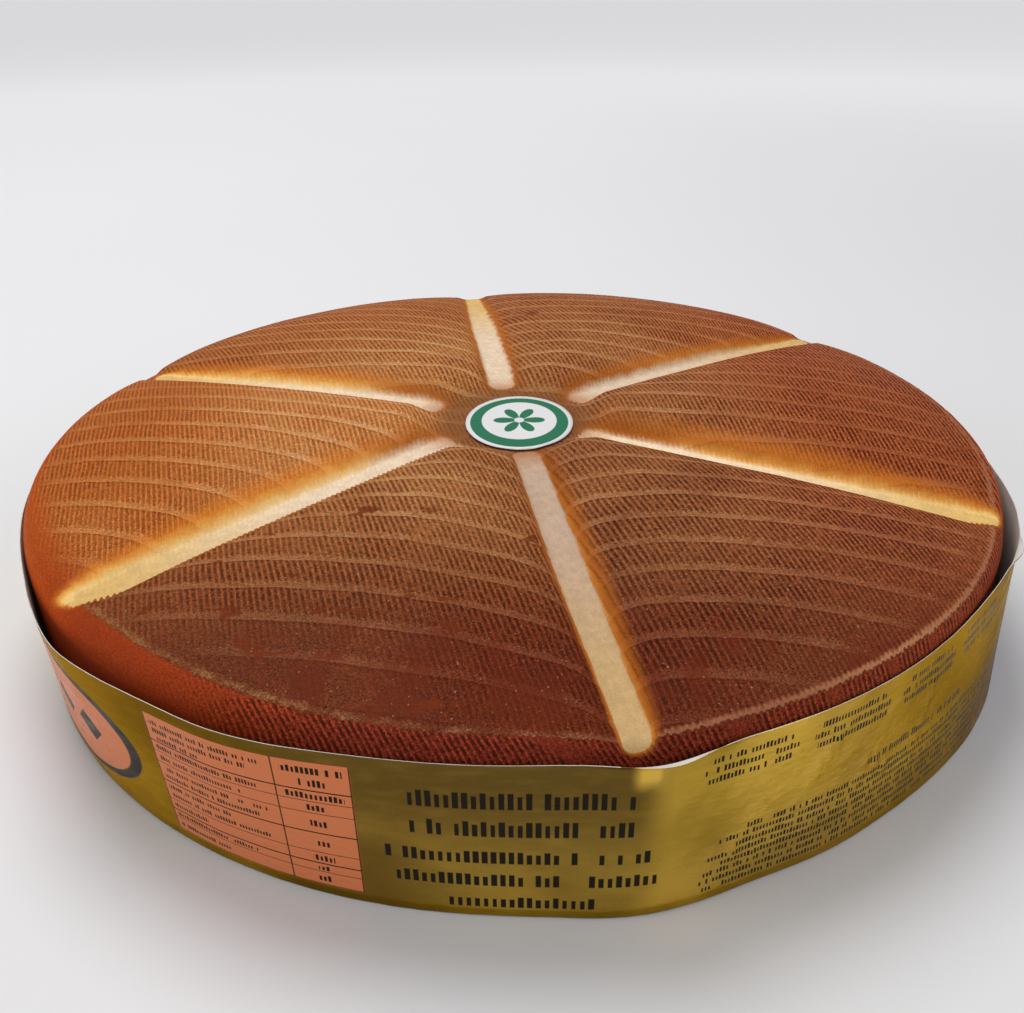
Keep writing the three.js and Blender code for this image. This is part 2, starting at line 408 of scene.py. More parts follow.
# %% Groove and sector numbers
# Where the cream starts and ends along the grooves, in millimetres from the hub, and how square its tips are:
# 2 is round. Floor tone is 1 for plain cream, less where it is dusky and more where it is bright. These
# differences between the grooves are partly the cream's own tone and partly painted light and shade.
GROOVE_INNER_END = 28.0
GROOVE_OUTER_END = {35: 162, 97: 163, 159: 160, 221.4: 162.0, 279.2: 168.7, 333.5: 165.2}
TIP_SQUARENESS = {35: 2.0, 97: 2.0, 159: 2.0, 221.4: 4.0, 279.2: 2.5, 333.5: 4.0}
# Two grooves narrow at the tip on one side: 0 clockwise or 1 anticlockwise, by how much, and between which
# radii.
TIP_NARROWING = {221.4: (1, 6.2, 138, 166), 333.5: (0, 2.6, 154, 166)}
FLOOR_TONE = {35: 0.8, 97: 0.9, 159: 1.0, 221.4: 1.0, 279.2: 0.5, 333.5: 1.2}
# For the clockwise and then the anticlockwise side of each groove: half-width of the cream near the hub and
# near the rim, width of its soft border and width of the glow, all in millimetres, then how bright the glow
# is and how deep in millimetres the ribs notch the border.
GROOVE_SIDES = {
    35: ((7.0, 5.0, 0.4, 1.0, 0.3, 0.5), (5.4, 3.6, 1.4, 7.0, 0.6, 0.2)),
    97: ((5.2, 3.6, 0.9, 4.0, 0.5, 0.2), (5.2, 3.6, 0.9, 4.0, 0.5, 0.2)),
    159: ((4.9, 3.4, 1.4, 8.0, 0.9, 0.2), (6.8, 4.6, 0.4, 1.2, 0.4, 0.5)),
    221.4: ((4.9, 5.1, 1.5, 8.5, 1.0, 0.2), (9.3, 8.0, 0.25, 0.7, 0.3, 0.85)),
    279.2: ((5.0, 2.8, 0.35, 1.6, 0.5, 0.1), (4.3, 4.4, 0.45, 4.2, 0.58, 0.1)),
    333.5: ((6.4, 3.6, 0.3, 0.7, 0.2, 0.6), (3.7, 4.9, 1.4, 10.5, 0.78, 0.25)),
}
# Warmth of each sector. A sector is named by the groove at its clockwise end.
SECTOR_WARMTH = {35: 0.32, 97: 0.55, 159: 1.0, 221.4: 0.27, 279.2: 0.04, 333.5: 0.22}
# The cloth's ribs in each sector: their spacing in millimetres and their lean in degrees beside the hub, then
# how both change across the sector.
SECTOR_RIBS = {
    35: (1.76, 17.7, 0.147, -0.138),
    97: (1.74, 17.2, 0.0, -0.06),
    159: (1.82, 15.5, -0.030, -0.032),
    221.4: (1.66, 16.2, 0.008, -0.025),
    279.2: (2.05, 19.2, 0.060, -0.052),
    333.5: (1.62, 14.0, 0.0, -0.12),
}
# The cloth's rows in each sector: their spacing in millimetres, their slope in degrees, how much they bow,
# and the count of rows at the hub.
SECTOR_ROWS = {
    35: (13.2, 11.8, 0.0, 0.0),
    97: (12.4, 13.3, 0.4, 0.3),
    159: (12.4, 21.8, 0.49, -1.9),
    221.4: (12.06, 13.4, 0.415, -4.26),
    279.2: (12.76, -1.7, 0.78, -5.48),
    333.5: (13.7, 11.3, 0.0, 2.15),
}
# How much the rows dip beside the cream, in rows, and how long the way down the rounded edge is.
ROW_DIP = 0.16
EDGE_PATH = 7.5
print("sectors:", len(SECTOR_WARMTH), "with", 2 * len(GROOVE_SIDES), "groove sides")

# %% Numbers for each point
def by_groove(table, index):
    return np.array([table[g] for g in GROOVES])[index]


down_edge = np.where(on_top, np.clip((new_radius - crest_radius(azimuth)) / EDGE_PATH, -6, 0), 1 - bevel)
path_radius = np.where(on_top, new_radius, crest_radius(azimuth) + down_edge * EDGE_PATH)
across, nearest = groove_reach(path_radius, azimuth)
past_tip = path_radius - by_groove(GROOVE_OUTER_END, nearest)
sides = np.array([GROOVE_SIDES[g] for g in GROOVES])[nearest]
# Along the groove the two sides are separate. Past its tip one side's look runs softly into the other's.
other_side = np.where(across >= 0, 1.0, 0.0)
other_side += (smooth_step(across, -6, 6) - other_side) * smooth_step(past_tip, -3, 2)
side = sides[:, 0] + (sides[:, 1] - sides[:, 0]) * other_side[:, None]
half_cream = side[:, 0] + (side[:, 1] - side[:, 0]) * smooth_step(path_radius, 100, 164)
for groove, (narrow_side, narrow_by, start, end) in TIP_NARROWING.items():
    on_side = other_side if narrow_side else 1 - other_side
    here = (nearest == GROOVES.index(groove)) * on_side
    half_cream -= here * narrow_by * smooth_step(path_radius, start, end)
inner_gap = np.maximum(GROOVE_INNER_END + half_cream - path_radius, 0)
outer_gap = np.maximum(past_tip + half_cream, 0)
end_gap = np.maximum(inner_gap, outer_gap)
squareness = by_groove(TIP_SQUARENESS, nearest)
off_groove = (np.abs(across) ** squareness + end_gap**squareness) ** (1 / squareness) - half_cream
glow_taper = 1 - 0.35 * smooth_step(path_radius, 100, 158)
sector = np.where(across >= 0, nearest, (nearest - 1) % len(GROOVES))
low_down = new_height < BEVEL_FOOT - 0.1

rib_gap, rib_lean, rib_crowd, rib_turn = np.array([SECTOR_RIBS[g] for g in GROOVES])[sector].T
rib_at = (plan_x * np.cos(np.radians(rib_lean)) + plan_y * np.sin(np.radians(rib_lean))) / rib_gap
rib_at += (rib_crowd * plan_x**2 + rib_turn * plan_x * plan_y) / 100
row_gap, row_slope, row_bow, row_first = np.array([SECTOR_ROWS[g] for g in GROOVES])[sector].T
row_away = plan_x * np.sin(np.radians(row_slope)) + plan_y * np.cos(np.radians(row_slope))
row_at = row_first - row_away / row_gap
row_at -= row_bow * (plan_x / 100) ** 2 + ROW_DIP * smooth_step(off_groove, 10, -2)

# On the rounded edge one sector's warmth runs softly into the next.
before = by_groove(SECTOR_WARMTH, (nearest - 1) % len(GROOVES))
after = by_groove(SECTOR_WARMTH, nearest)
turn = (azimuth - np.array(GROOVES)[nearest] + 180) % 360 - 180
soft_warmth = before + (after - before) * smooth_step(turn, -7, 7)
past_end = smooth_step(past_tip, -5, 1)
warmth = by_groove(SECTOR_WARMTH, sector)
warmth = warmth + (soft_warmth - warmth) * past_end
print("warmth of the rind from", round(float(warmth.min()), 2), "to", round(float(warmth.max()), 2))

# %% Keep the numbers on the mesh
# The side and the foot of the wheel get values that mean plain rind. The soft border and the glow narrow
# towards a groove's tip, and so do the notches of the ribs.
store(wheel, "off_groove", np.where(low_down, 99, off_groove))
store(wheel, "soft", side[:, 2] * (0.4 + 0.6 * glow_taper) * (1 - 0.4 * smooth_step(past_tip, -10, -1)))
store(wheel, "glow", side[:, 3] * glow_taper * (1 - 0.5 * smooth_step(past_tip, -10, 0)))
store(wheel, "glow_tone", side[:, 4])
store(wheel, "teeth", side[:, 5] * (1 - 0.8 * smooth_step(past_tip, -8, 0)))
store(wheel, "floor_tone", by_groove(FLOOR_TONE, nearest))
store(wheel, "warmth", warmth)
store(wheel, "rib_at", rib_at)
store(wheel, "row_at", row_at)
store(wheel, "row_first", row_first)
store(wheel, "down_edge", np.where(low_down, 1.5, down_edge - crest_drop(azimuth)))
store(wheel, "reach", new_radius)
store(wheel, "seam", np.abs(across))
settle(wheel)

# %% [markdown]
# ## Writing a finish with nodes
#
# A material is a net of nodes. Joined by hand it soon fills the screen, so these helpers add one node each
# and hand back its output. A sum then reads like a line of school algebra. What is the same all over the
# piece is typed straight into the shader's own socket.

# %% Node helpers
class Finish:
    """One material, with a method for each kind of node that the finishes here use."""

    def __init__(self, name):
        self.material = bpy.data.materials.new(name)
        self.material.use_nodes = True
        self.nodes = self.material.node_tree.nodes
        self.links = self.material.node_tree.links
        self.nodes.clear()
        self.shader = self.nodes.new("ShaderNodeBsdfPrincipled")
        output = self.nodes.new("ShaderNodeOutputMaterial")
        self.links.new(self.shader.outputs["BSDF"], output.inputs["Surface"])

    def feed(self, socket, value):
        if isinstance(value, bpy.types.NodeSocket):
            self.links.new(value, socket)
        else:
            socket.default_value = value

    def calc(self, operation, a, b=0.0, c=0.0):
        node = self.nodes.new("ShaderNodeMath")
        node.operation = operation
        for socket, value in zip(node.inputs, (a, b, c)):
            self.feed(socket, value)
        return node.outputs[0]

    def times(self, *values):
        """The values multiplied together."""
        result = values[0]
        for value in values[1:]:
            result = self.calc("MULTIPLY", result, value)
        return result

    def plus(self, total, value, share=1.0):
        """The total plus a share of the value."""
        return self.calc("MULTIPLY_ADD", value, share, total)

    def minus(self, a, b):
        return self.calc("SUBTRACT", a, b)

    def less(self, value, mask, share=1.0):
        """The value, taken away where the mask is 1."""
        return self.times(value, self.plus(1.0, mask, -share))

    def either(self, *masks):
        """1 where any of the masks is 1."""
        result = masks[0]
        for mask in masks[1:]:
            result = self.calc("MAXIMUM", result, mask)
        return result

    def length(self, x, y):
        return self.calc("SQRT", self.calc("ADD", self.times(x, x), self.times(y, y)))

    def rise(self, value, low, high, start=0.0, end=1.0):
        """A smooth step from start to end while the value goes from low to high."""
        node = self.nodes.new("ShaderNodeMapRange")
        node.interpolation_type = "SMOOTHSTEP"
        for socket, number in zip(node.inputs, (value, low, high, start, end)):
            self.feed(socket, number)
        return node.outputs["Result"]

    def blend(self, factor, first, second, kind="MIX"):
        node = self.nodes.new("ShaderNodeMix")
        node.data_type = "RGBA"
        node.blend_type = kind
        self.feed(node.inputs["Factor"], factor)
        self.feed(node.inputs[6], first)
        self.feed(node.inputs[7], second)
        return node.outputs[2]

    def wash(self, mask, colour, tone):
        """The colour, multiplied by a tone where the mask is 1."""
        return self.blend(mask, colour, tone, "MULTIPLY")

    def read(self, name):
        node = self.nodes.new("ShaderNodeAttribute")
        node.attribute_name = name
        return node.outputs["Fac"]

    def place(self, scale=1000.0):
        """Object coordinates, in millimetres unless another scale is asked for."""
        source = self.nodes.new("ShaderNodeTexCoord")
        node = self.nodes.new("ShaderNodeVectorMath")
        node.operation = "SCALE"
        self.links.new(source.outputs["Object"], node.inputs[0])
        node.inputs["Scale"].default_value = scale
        return node.outputs["Vector"]

    def split(self, vector):
        node = self.nodes.new("ShaderNodeSeparateXYZ")
        self.links.new(vector, node.inputs[0])
        return node.outputs

    def join(self, x, y, z):
        node = self.nodes.new("ShaderNodeCombineXYZ")
        for socket, value in zip(node.inputs, (x, y, z)):
            self.feed(socket, value)
        return node.outputs[0]

    def grain(self, vector, scale, detail=2.0, roughness=0.5):
        node = self.nodes.new("ShaderNodeTexNoise")
        self.links.new(vector, node.inputs["Vector"])
        node.inputs["Scale"].default_value = scale
        node.inputs["Detail"].default_value = detail
        node.inputs["Roughness"].default_value = roughness
        return node.outputs["Fac"]

    def relief(self, height, distance, strength=1.0):
        node = self.nodes.new("ShaderNodeBump")
        node.inputs["Strength"].default_value = strength
        node.inputs["Distance"].default_value = distance
        self.links.new(height, node.inputs["Height"])
        return node.outputs["Normal"]

    def give(self, **sockets):
        for name, value in sockets.items():
            self.feed(self.shader.inputs[name.replace("_", " ")], value)

    def dress(self, piece):
        piece.data.materials.clear()
        piece.data.materials.append(self.material)


def tint(red, green, blue):
    return (red, green, blue, 1.0)


print("node helpers are ready")

# %% [markdown]
# ## The smoked rind
#
# Smoke browns the rind from orange, where it was thin, to a deep red-brown. The cloth printed it with pale
# smooth rows twelve to fourteen millimetres apart and with fine ribs between them. The grooves stayed cream,
# and beside them the brown runs out through a warm orange glow. Each of these is a mask between 0 and 1, and
# the colour is mixed mask by mask from the ground up. The same masks drive the relief, so that colour and
# shape agree.
#
# First come the numbers that the mesh keeps, and four noises: fibre and dust are the finest grain, pores are
# a few millimetres wide, and clouds are as wide as a hand.

# %% Rind: places on the wheel
rind = Finish("smoked_rind")
spot = rind.place()
x_mm, y_mm, z_mm = rind.split(spot)
off = rind.read("off_groove")
soft = rind.read("soft")
glow_width = rind.read("glow")
reach = rind.read("reach")
glow_tone = rind.times(rind.read("glow_tone"), rind.rise(reach, 30, 80, 0.35, 1.0))
warm = rind.read("warmth")
edge = rind.read("down_edge")
fibre = rind.grain(spot, 1.25, 3.0, 0.6)
dust = rind.grain(spot, 2.1, 2.0, 0.6)
pores = rind.grain(spot, 0.33, 3.0)
clouds = rind.grain(spot, 0.03, 3.0)
print("places:", len(rind.nodes), "nodes")

# %% [markdown]
# ### Ribs
#
# The ribs are 1.6 to 2 mm apart and lean away from the viewer to the left. A sine of the rib count makes
# them. Their valleys are narrow, darkened with painted shade, and broken into short dashes, because each is
# the print of a twisted thread. The ridges between them are paler, a painted highlight.

# %% Rind: ribs
wander = rind.grain(spot, 0.035, 1.0)
rib_count = rind.plus(rind.read("rib_at"), wander, 1.2)
rib_count = rind.plus(rib_count, fibre, 0.45)
edge_lean = rind.times(rind.rise(edge, 0.0, 1.0), rind.rise(x_mm, 90, 155, -1.9, -0.2))
rib_count = rind.plus(rib_count, edge_lean)
rib_wave = rind.calc("SINE", rind.times(rib_count, 2 * math.pi))
rib_number = rind.calc("FLOOR", rib_count)
along_rib = rind.plus(rind.times(x_mm, -0.13), y_mm, 0.5)
dash = rind.grain(rind.join(rind.times(rib_number, 1.73), along_rib, z_mm), 1.0, 1.0)
dash = rind.rise(dash, 0.34, 0.57, 0.2, 1.0)
# Valleys of the ribs: they shape the bump, and the colour darkens them with painted shade.
valley = rind.times(rind.rise(rib_wave, 0.15, -0.8), dash)
# Ridges of the ribs: the colour lightens them with a painted highlight.
ridge = rind.times(rind.rise(rib_wave, 0.1, 0.9), rind.rise(dust, 0.35, 0.62, 0.25, 1.0))
print("with ribs:", len(rind.nodes), "nodes")

# %% [markdown]
# ### Rows
#
# The rows are pale and smooth. Each starts softly and ends at a crisp line where the cloth's weave changed,
# with a thin painted highlight above the line and painted shade below it. The fraction of the row count tells
# how far into a row a point is.

# %% Rind: rows
row_count = rind.plus(rind.read("row_at"), rind.grain(spot, 0.05, 3.0), 0.16)
row_count = rind.plus(row_count, fibre, 0.05)
row_place = rind.calc("FRACT", rind.plus(row_count, -0.10))
row_presence = rind.rise(rind.grain(spot, 0.035, 2.0), 0.33, 0.6, 0.55, 1.0)
row = rind.times(rind.rise(rind.plus(row_place, dust, 0.3), 0.84, 1.0), row_presence)
# A thin painted highlight along each row's foot; the line under it is painted shade.
row_highlight_line = rind.times(rind.rise(row_place, 0.935, 0.965), row_presence)
row_shade = rind.rise(row_place, 0.0, 0.11, 1.0, 0.0)
print("with rows:", len(rind.nodes), "nodes")

# %% [markdown]
# ### Cream, glow and edge
#
# The distance from the groove is roughened before it is used: the ribs notch the cream's border, a noise
# frays it, and the cream reaches a little further on the rows. Cream, fringe and glow are then three steps of
# that one distance. Over the rounded edge the rind darkens, and at the left, where no cloth lay, the edge is
# smooth.

# %% Rind: cream, glow and edge
notch = rind.times(rib_wave, rind.read("teeth"))
ragged = rind.times(rind.plus(rind.grain(spot, 0.20, 4.0, 0.6), -0.5), 2.4)
ragged = rind.times(ragged, rind.rise(soft, 0.3, 0.8, 0.25, 1.0))
ragged = rind.plus(ragged, row, -0.22)
off_ragged = rind.plus(rind.plus(off, notch), ragged)
pale = rind.rise(rind.calc("DIVIDE", off_ragged, soft), -1.0, 1.0, 1.0, 0.0)
pale = rind.times(pale, rind.rise(rind.plus(reach, dust, 8.0), 29, 47, 0.25, 1.0))
past_pale = rind.plus(off_ragged, soft, 0.5)
glow = rind.rise(rind.calc("DIVIDE", past_pale, glow_width), 0.0, 1.6, 1.0, 0.0)
fringe_width = rind.plus(0.4, soft, 1.2)
fringe = rind.rise(rind.calc("DIVIDE", off_ragged, fringe_width), -0.4, 1.8, 1.0, 0.0)
hub = rind.rise(reach, 22, 34, 1.0, 0.0)

orange_side = rind.rise(warm, 0.7, 0.95)
margin = rind.times(orange_side, rind.rise(y_mm, -20, -100, 0.25, 1.7))
edge_start = rind.minus(-0.06, margin)
over_edge = rind.rise(edge, edge_start, rind.plus(0.08, orange_side, 0.35))
ribbed_edge = rind.rise(x_mm, -100, -55)
smooth_edge = rind.less(over_edge, ribbed_edge)
print("with cream and edge:", len(rind.nodes), "nodes")

# %% [markdown]
# ### Where the ribs show
#
# The ribs are faint near the front rim and on the orange side, and strong on the rounded edge where the cloth
# lay. They fade on the rows, the cream, the smooth edge and the foot of the edge at the right, and where two
# sectors meet without a groove between them.

# %% Rind: share of the ribs
threads = rind.times(valley, rind.rise(dust, 0.48, 0.62))
near_rim = rind.times(rind.rise(edge, -4.5, -0.3), rind.rise(y_mm, -60, -125))
front_left = rind.times(rind.rise(y_mm, -112, -142), rind.rise(x_mm, 10, -40))
right_foot = rind.times(rind.rise(edge, 0.2, 0.55), rind.rise(x_mm, 72, 126))
seam = rind.rise(rind.read("seam"), 0.6, 2.4, 1.0, 0.0)
rib_share = rind.plus(0.7, rind.rise(clouds, 0.3, 0.6), 0.3)
for mask, share in ((near_rim, 0.5), (front_left, 0.7), (orange_side, 0.15)):
    rib_share = rind.less(rib_share, mask, share)
rib_share = rind.either(rib_share, rind.times(over_edge, ribbed_edge))
for mask, share in ((right_foot, 0.95), (smooth_edge, 0.9), (row, 0.85), (pale, 1), (fringe, 0.5), (seam, 1)):
    rib_share = rind.less(rib_share, mask, share)
valley = rind.times(valley, rib_share)
ridge = rind.times(ridge, rib_share)
row = rind.less(rind.less(row, pale), seam)
row_highlight_line = rind.less(row_highlight_line, seam)
row_shade = rind.less(row_shade, seam)
print("masks of the rind:", len(rind.nodes), "nodes")

# %% [markdown]
# ### The brown
#
# Two browns and two oranges are mixed by how warm the sector is. A grain multiplies them, and broad soft
# washes follow: redder to the right and at the front, yellower by the hub, deeper at the left rim. These
# washes are partly the rind's own tone and partly painted light and shade: painted shade to the right, at the
# front and at the left rim, and painted light by the hub.

# %% Rind: brown
BROWN = tint(0.240, 0.080, 0.0275)
DEEP_BROWN = tint(0.098, 0.0205, 0.0092)
ORANGE_INNER = tint(0.450, 0.180, 0.053)
ORANGE_OUTER = tint(0.370, 0.110, 0.0225)

# Deeper brown at the front: partly the rind's own tone, partly painted shade.
front = rind.times(rind.rise(y_mm, -62, -148), rind.rise(x_mm, 15, 60, 1.0, 0.75))
colour = rind.blend(rind.times(front, rind.rise(warm, 0.8, 0.4)), BROWN, DEEP_BROWN)
orange = rind.blend(rind.rise(reach, 70, 130), ORANGE_INNER, ORANGE_OUTER)
colour = rind.blend(rind.less(warm, rind.less(front, warm), 1.1), colour, orange)
cloud_tint = rind.blend(warm, DEEP_BROWN, tint(0.42, 0.10, 0.022))
colour = rind.blend(rind.rise(clouds, 0.42, 0.7, 0.0, 0.35), colour, cloud_tint)
grainy = rind.plus(rind.rise(fibre, 0.3, 0.72, 0.32, 0.70), rind.rise(dust, 0.32, 0.68, 0.14, 0.92))
colour = rind.wash(1.0, colour, grainy)
pore_tint = rind.blend(warm, tint(0.12, 0.024, 0.008), tint(0.40, 0.085, 0.016))
colour = rind.blend(rind.rise(pores, 0.55, 0.7, 0.0, 0.35), colour, pore_tint)

# Redder and darker to the right: partly the rind's own tone, partly painted shade.
right_side = rind.rise(x_mm, 40, 110)
far_right = rind.times(rind.rise(x_mm, 60, 90), rind.rise(rind.read("row_first"), 1.5, 2.0))
right_tone_and_shade = rind.blend(far_right, tint(0.96, 0.76, 0.76), tint(0.92, 0.66, 0.62))
colour = rind.wash(right_side, colour, right_tone_and_shade)
# Lighter and yellower by the hub: partly the rind's own tone, partly painted light.
hub_tone_and_light = rind.less(rind.times(rind.rise(reach, 110, 55), rind.rise(x_mm, 20, -25)), warm)
colour = rind.wash(hub_tone_and_light, colour, tint(1.18, 1.32, 1.34))
# Redder and darker at the middle of the front: partly the rind's own tone, partly painted shade.
front_tone_and_shade = rind.times(rind.rise(y_mm, -106, -130), rind.rise(x_mm, -40, -8), rind.rise(x_mm, 70, 40))
colour = rind.wash(front_tone_and_shade, colour, tint(0.96, 0.78, 0.75))
# Deeper at the left rim: partly the rind's own tone, partly painted shade.
left_rim_tone_and_shade = rind.times(rind.rise(x_mm, -104, -138), rind.rise(y_mm, -75, -45), warm)
colour = rind.wash(left_rim_tone_and_shade, colour, tint(0.92, 0.83, 0.72))
print("the brown is mixed from", len(rind.nodes), "nodes")

# %% [markdown]
# ### The cloth's print in colour
#
# The rows are the same brown with less smoke in it: brighter and yellower. Each has a thin painted highlight
# at its foot and painted shade under it. The valleys of the ribs are darkened with painted shade, and their
# ridges lightened with a painted highlight.

# %% Rind: colour of rows and ribs
row_end = rind.plus(-1.6, orange_side, 0.5)
row_strength = rind.times(row, rind.rise(edge, row_end, rind.plus(row_end, 1.3), 1.0, 0.2))
row_strength = rind.less(row_strength, far_right, 0.35)
row_gain = rind.blend(warm, tint(1.30, 1.64, 1.84), tint(1.15, 1.44, 1.90))
colour = rind.wash(row_strength, colour, row_gain)
# The painted highlight on each row's foot, then the painted shade under it.
highlight_strength = rind.times(rind.less(row_highlight_line, over_edge), rind.rise(edge, -2.5, -0.6, 1.0, 0.2))
colour = rind.wash(highlight_strength, colour, tint(1.10, 1.14, 1.16))
shade_strength = rind.times(rind.less(row_shade, over_edge), rind.rise(edge, -2.5, -0.6, 0.55, 0.2))
colour = rind.wash(shade_strength, colour, tint(0.62, 0.50, 0.48))

# Painted shade in the rib valleys and a painted highlight on their ridges.
valley_shade_tone = rind.blend(warm, tint(0.40, 0.31, 0.27), tint(0.60, 0.46, 0.36))
valley_shade_tone = rind.blend(right_side, valley_shade_tone, tint(0.34, 0.25, 0.22))
ridge_highlight_tone = rind.blend(right_side, tint(1.38, 1.46, 1.50), tint(1.80, 2.0, 2.05))
colour = rind.wash(valley, colour, valley_shade_tone)
colour = rind.wash(ridge, colour, ridge_highlight_tone)
print("with the cloth's print:", len(rind.nodes), "nodes")

# %% [markdown]
# ### Worn places
#
# In places the cloth pulled a row's skin off, which left smooth red-brown patches. Red streaks run along the
# front rim, and fine pale specks lie all over.

# %% Rind: patches, streaks and specks
WORN_RED = tint(0.150, 0.027, 0.007)
STREAK_RED = tint(0.125, 0.019, 0.007)
SPECK = tint(0.42, 0.25, 0.14)
patch_place = rind.join(x_mm, rind.times(y_mm, 1.5), z_mm)
patch = rind.rise(rind.grain(patch_place, 0.085, 3.0, 0.6), 0.60, 0.625)
patch = rind.times(rind.less(patch, rind.rise(warm, 0.3, 0.6)), rind.rise(reach, 60, 90))
patch = rind.times(patch, rind.rise(row_place, 0.45, 0.6), rind.rise(x_mm, 45, 5))
patch = rind.less(patch, over_edge)
colour = rind.blend(rind.times(patch, 0.85), colour, WORN_RED)
streak_place = rind.join(x_mm, rind.times(y_mm, 0.3), z_mm)
red_streak = rind.rise(rind.grain(streak_place, 0.12, 3.0), 0.5, 0.62)
red_streak = rind.less(rind.times(red_streak, rind.rise(y_mm, -120, -140)), over_edge)
colour = rind.blend(rind.times(red_streak, 0.6), colour, STREAK_RED)
speck = rind.rise(rind.grain(spot, 1.3, 0.0), 0.79, 0.83)
colour = rind.blend(rind.times(speck, 0.5), colour, SPECK)
print("with worn places:", len(rind.nodes), "nodes")

# %% [markdown]
# ### The edge and its crest
#
# Round the edge the rust of the left turns to mahogany at the front and to chestnut at the right. These tones
# are partly the rind's own and partly painted light and shade, darkest at the front. Low on the edge at the
# left a wash adds painted light. The ribs on the edge get painted shade in their valleys and a painted
# highlight on their ridges. The crest is a thin worn line: rough and golden at the front left, torn into
# short strokes at the front, and a smooth pale ridge at the right. The orange side at the left has none.

# %% Rind: edge and crest
EDGE_RUST = tint(0.370, 0.063, 0.0065)
EDGE_DARK_RUST = tint(0.262, 0.0335, 0.0064)
EDGE_MAHOGANY = tint(0.172, 0.0235, 0.0108)
EDGE_CHESTNUT = tint(0.235, 0.040, 0.014)
EDGE_RUSSET = tint(0.34, 0.068, 0.022)
EDGE_VALLEY_SHADE = tint(0.048, 0.0085, 0.0035)
CREST_GOLD = tint(0.38, 0.165, 0.058)
CREST_ROSE = tint(0.36, 0.135, 0.064)
CREST_PALE = tint(0.50, 0.215, 0.100)

# Tones round the edge: partly the rind's own, partly painted light and shade, darkest at the front.
edge_tone = rind.blend(rind.rise(x_mm, -160, -112), EDGE_RUST, EDGE_DARK_RUST)
for start, end, tone in ((-88, -30, EDGE_MAHOGANY), (20, 120, EDGE_CHESTNUT), (148, 162, EDGE_RUSSET)):
    edge_tone = rind.blend(rind.rise(x_mm, start, end), edge_tone, tone)
edge_grain = rind.plus(rind.less(grainy, smooth_edge, 0.55), smooth_edge, 0.55)
colour = rind.blend(rind.times(over_edge, 0.94), colour, rind.wash(1.0, edge_tone, edge_grain))
# Painted shade in the edge's rib valleys, then a painted highlight on their ridges.
colour = rind.blend(rind.times(valley, over_edge, 0.85), colour, EDGE_VALLEY_SHADE)
colour = rind.wash(rind.times(ridge, over_edge, 0.8), colour, tint(1.55, 1.65, 1.65))
# Painted light low on the edge at the left.
left_edge_painted_light = rind.times(rind.rise(edge, 0.25, 0.75), rind.rise(x_mm, -95, -140))
colour = rind.wash(left_edge_painted_light, colour, tint(1.4, 1.25, 0.9))

crest_ragged = rind.plus(rind.times(rib_wave, 0.03), rind.grain(spot, 0.5, 3.0), 0.3)
crest_place = rind.plus(rind.plus(edge, -0.12), crest_ragged)
crest = rind.times(rind.rise(crest_place, -0.32, -0.06), rind.rise(crest_place, -0.03, 0.03, 1.0, 0.0))
crest_worn = rind.rise(rind.grain(spot, 0.16, 3.0), 0.36, 0.62, 0.15, 0.9)
crest_worn = rind.times(crest_worn, rind.rise(dust, 0.4, 0.6, 0.35, 1.0))
crest = rind.times(crest, rind.either(crest_worn, rind.rise(x_mm, 0, 45, 0.0, 0.85)))
crest = rind.less(rind.less(crest, orange_side), rind.either(pale, fringe))
crest_tone = rind.blend(rind.rise(x_mm, -70, 0), CREST_GOLD, CREST_ROSE)
far_crest = rind.times(rind.rise(x_mm, 60, 95), rind.rise(x_mm, 140, 92))
colour = rind.blend(crest, colour, rind.blend(far_crest, crest_tone, CREST_PALE))
print("with edge and crest:", len(rind.nodes), "nodes")

# %% [markdown]
# ### Glow and cream
#
# The glow is burnt orange, and the thin fringe at the cream's border is golden where the glow is bright. The
# cream is nearly white by the hub and turns to butter towards the rim. It has pinholes, the cloth's faint
# threads, and a slightly uneven tone. Where it meets a bright glow it yellows, partly its own colour and
# partly painted light on the slope there.

# %% Rind: glow and cream
GLOW_BRIGHT = tint(0.64, 0.19, 0.018)
GLOW_DIM = tint(0.17, 0.036, 0.008)
FRINGE_BRIGHT = tint(0.92, 0.51, 0.125)
FRINGE_DIM = tint(0.47, 0.140, 0.014)
CREAM = tint(0.73, 0.58, 0.42)
BUTTER = tint(0.62, 0.40, 0.14)
DUSKY_CREAM = tint(0.50, 0.36, 0.26)
DUSKY_BUTTER = tint(0.52, 0.34, 0.15)
YELLOW_CREAM = tint(0.84, 0.60, 0.25)
PINHOLE = tint(0.30, 0.17, 0.09)
THREAD = tint(0.42, 0.25, 0.13)
HUB_BROWN = tint(0.185, 0.072, 0.026)

colour = rind.blend(rind.times(glow, 0.85), colour, rind.blend(glow_tone, GLOW_DIM, GLOW_BRIGHT))
fringe_share = rind.times(fringe, rind.rise(glow_tone, 0.3, 0.9, 0.6, 0.9))
fringe_tone = rind.blend(rind.rise(glow_tone, 0.45, 0.95), FRINGE_DIM, FRINGE_BRIGHT)
colour = rind.blend(fringe_share, colour, fringe_tone)

# Dusky and bright cream by groove: partly the cream's own tone, partly painted light and shade.
floor_tone = rind.read("floor_tone")
outward = rind.rise(reach, 75, 158)
dusky = rind.blend(outward, DUSKY_CREAM, DUSKY_BUTTER)
cream = rind.blend(rind.rise(floor_tone, 1.0, 0.5), rind.blend(outward, CREAM, BUTTER), dusky)
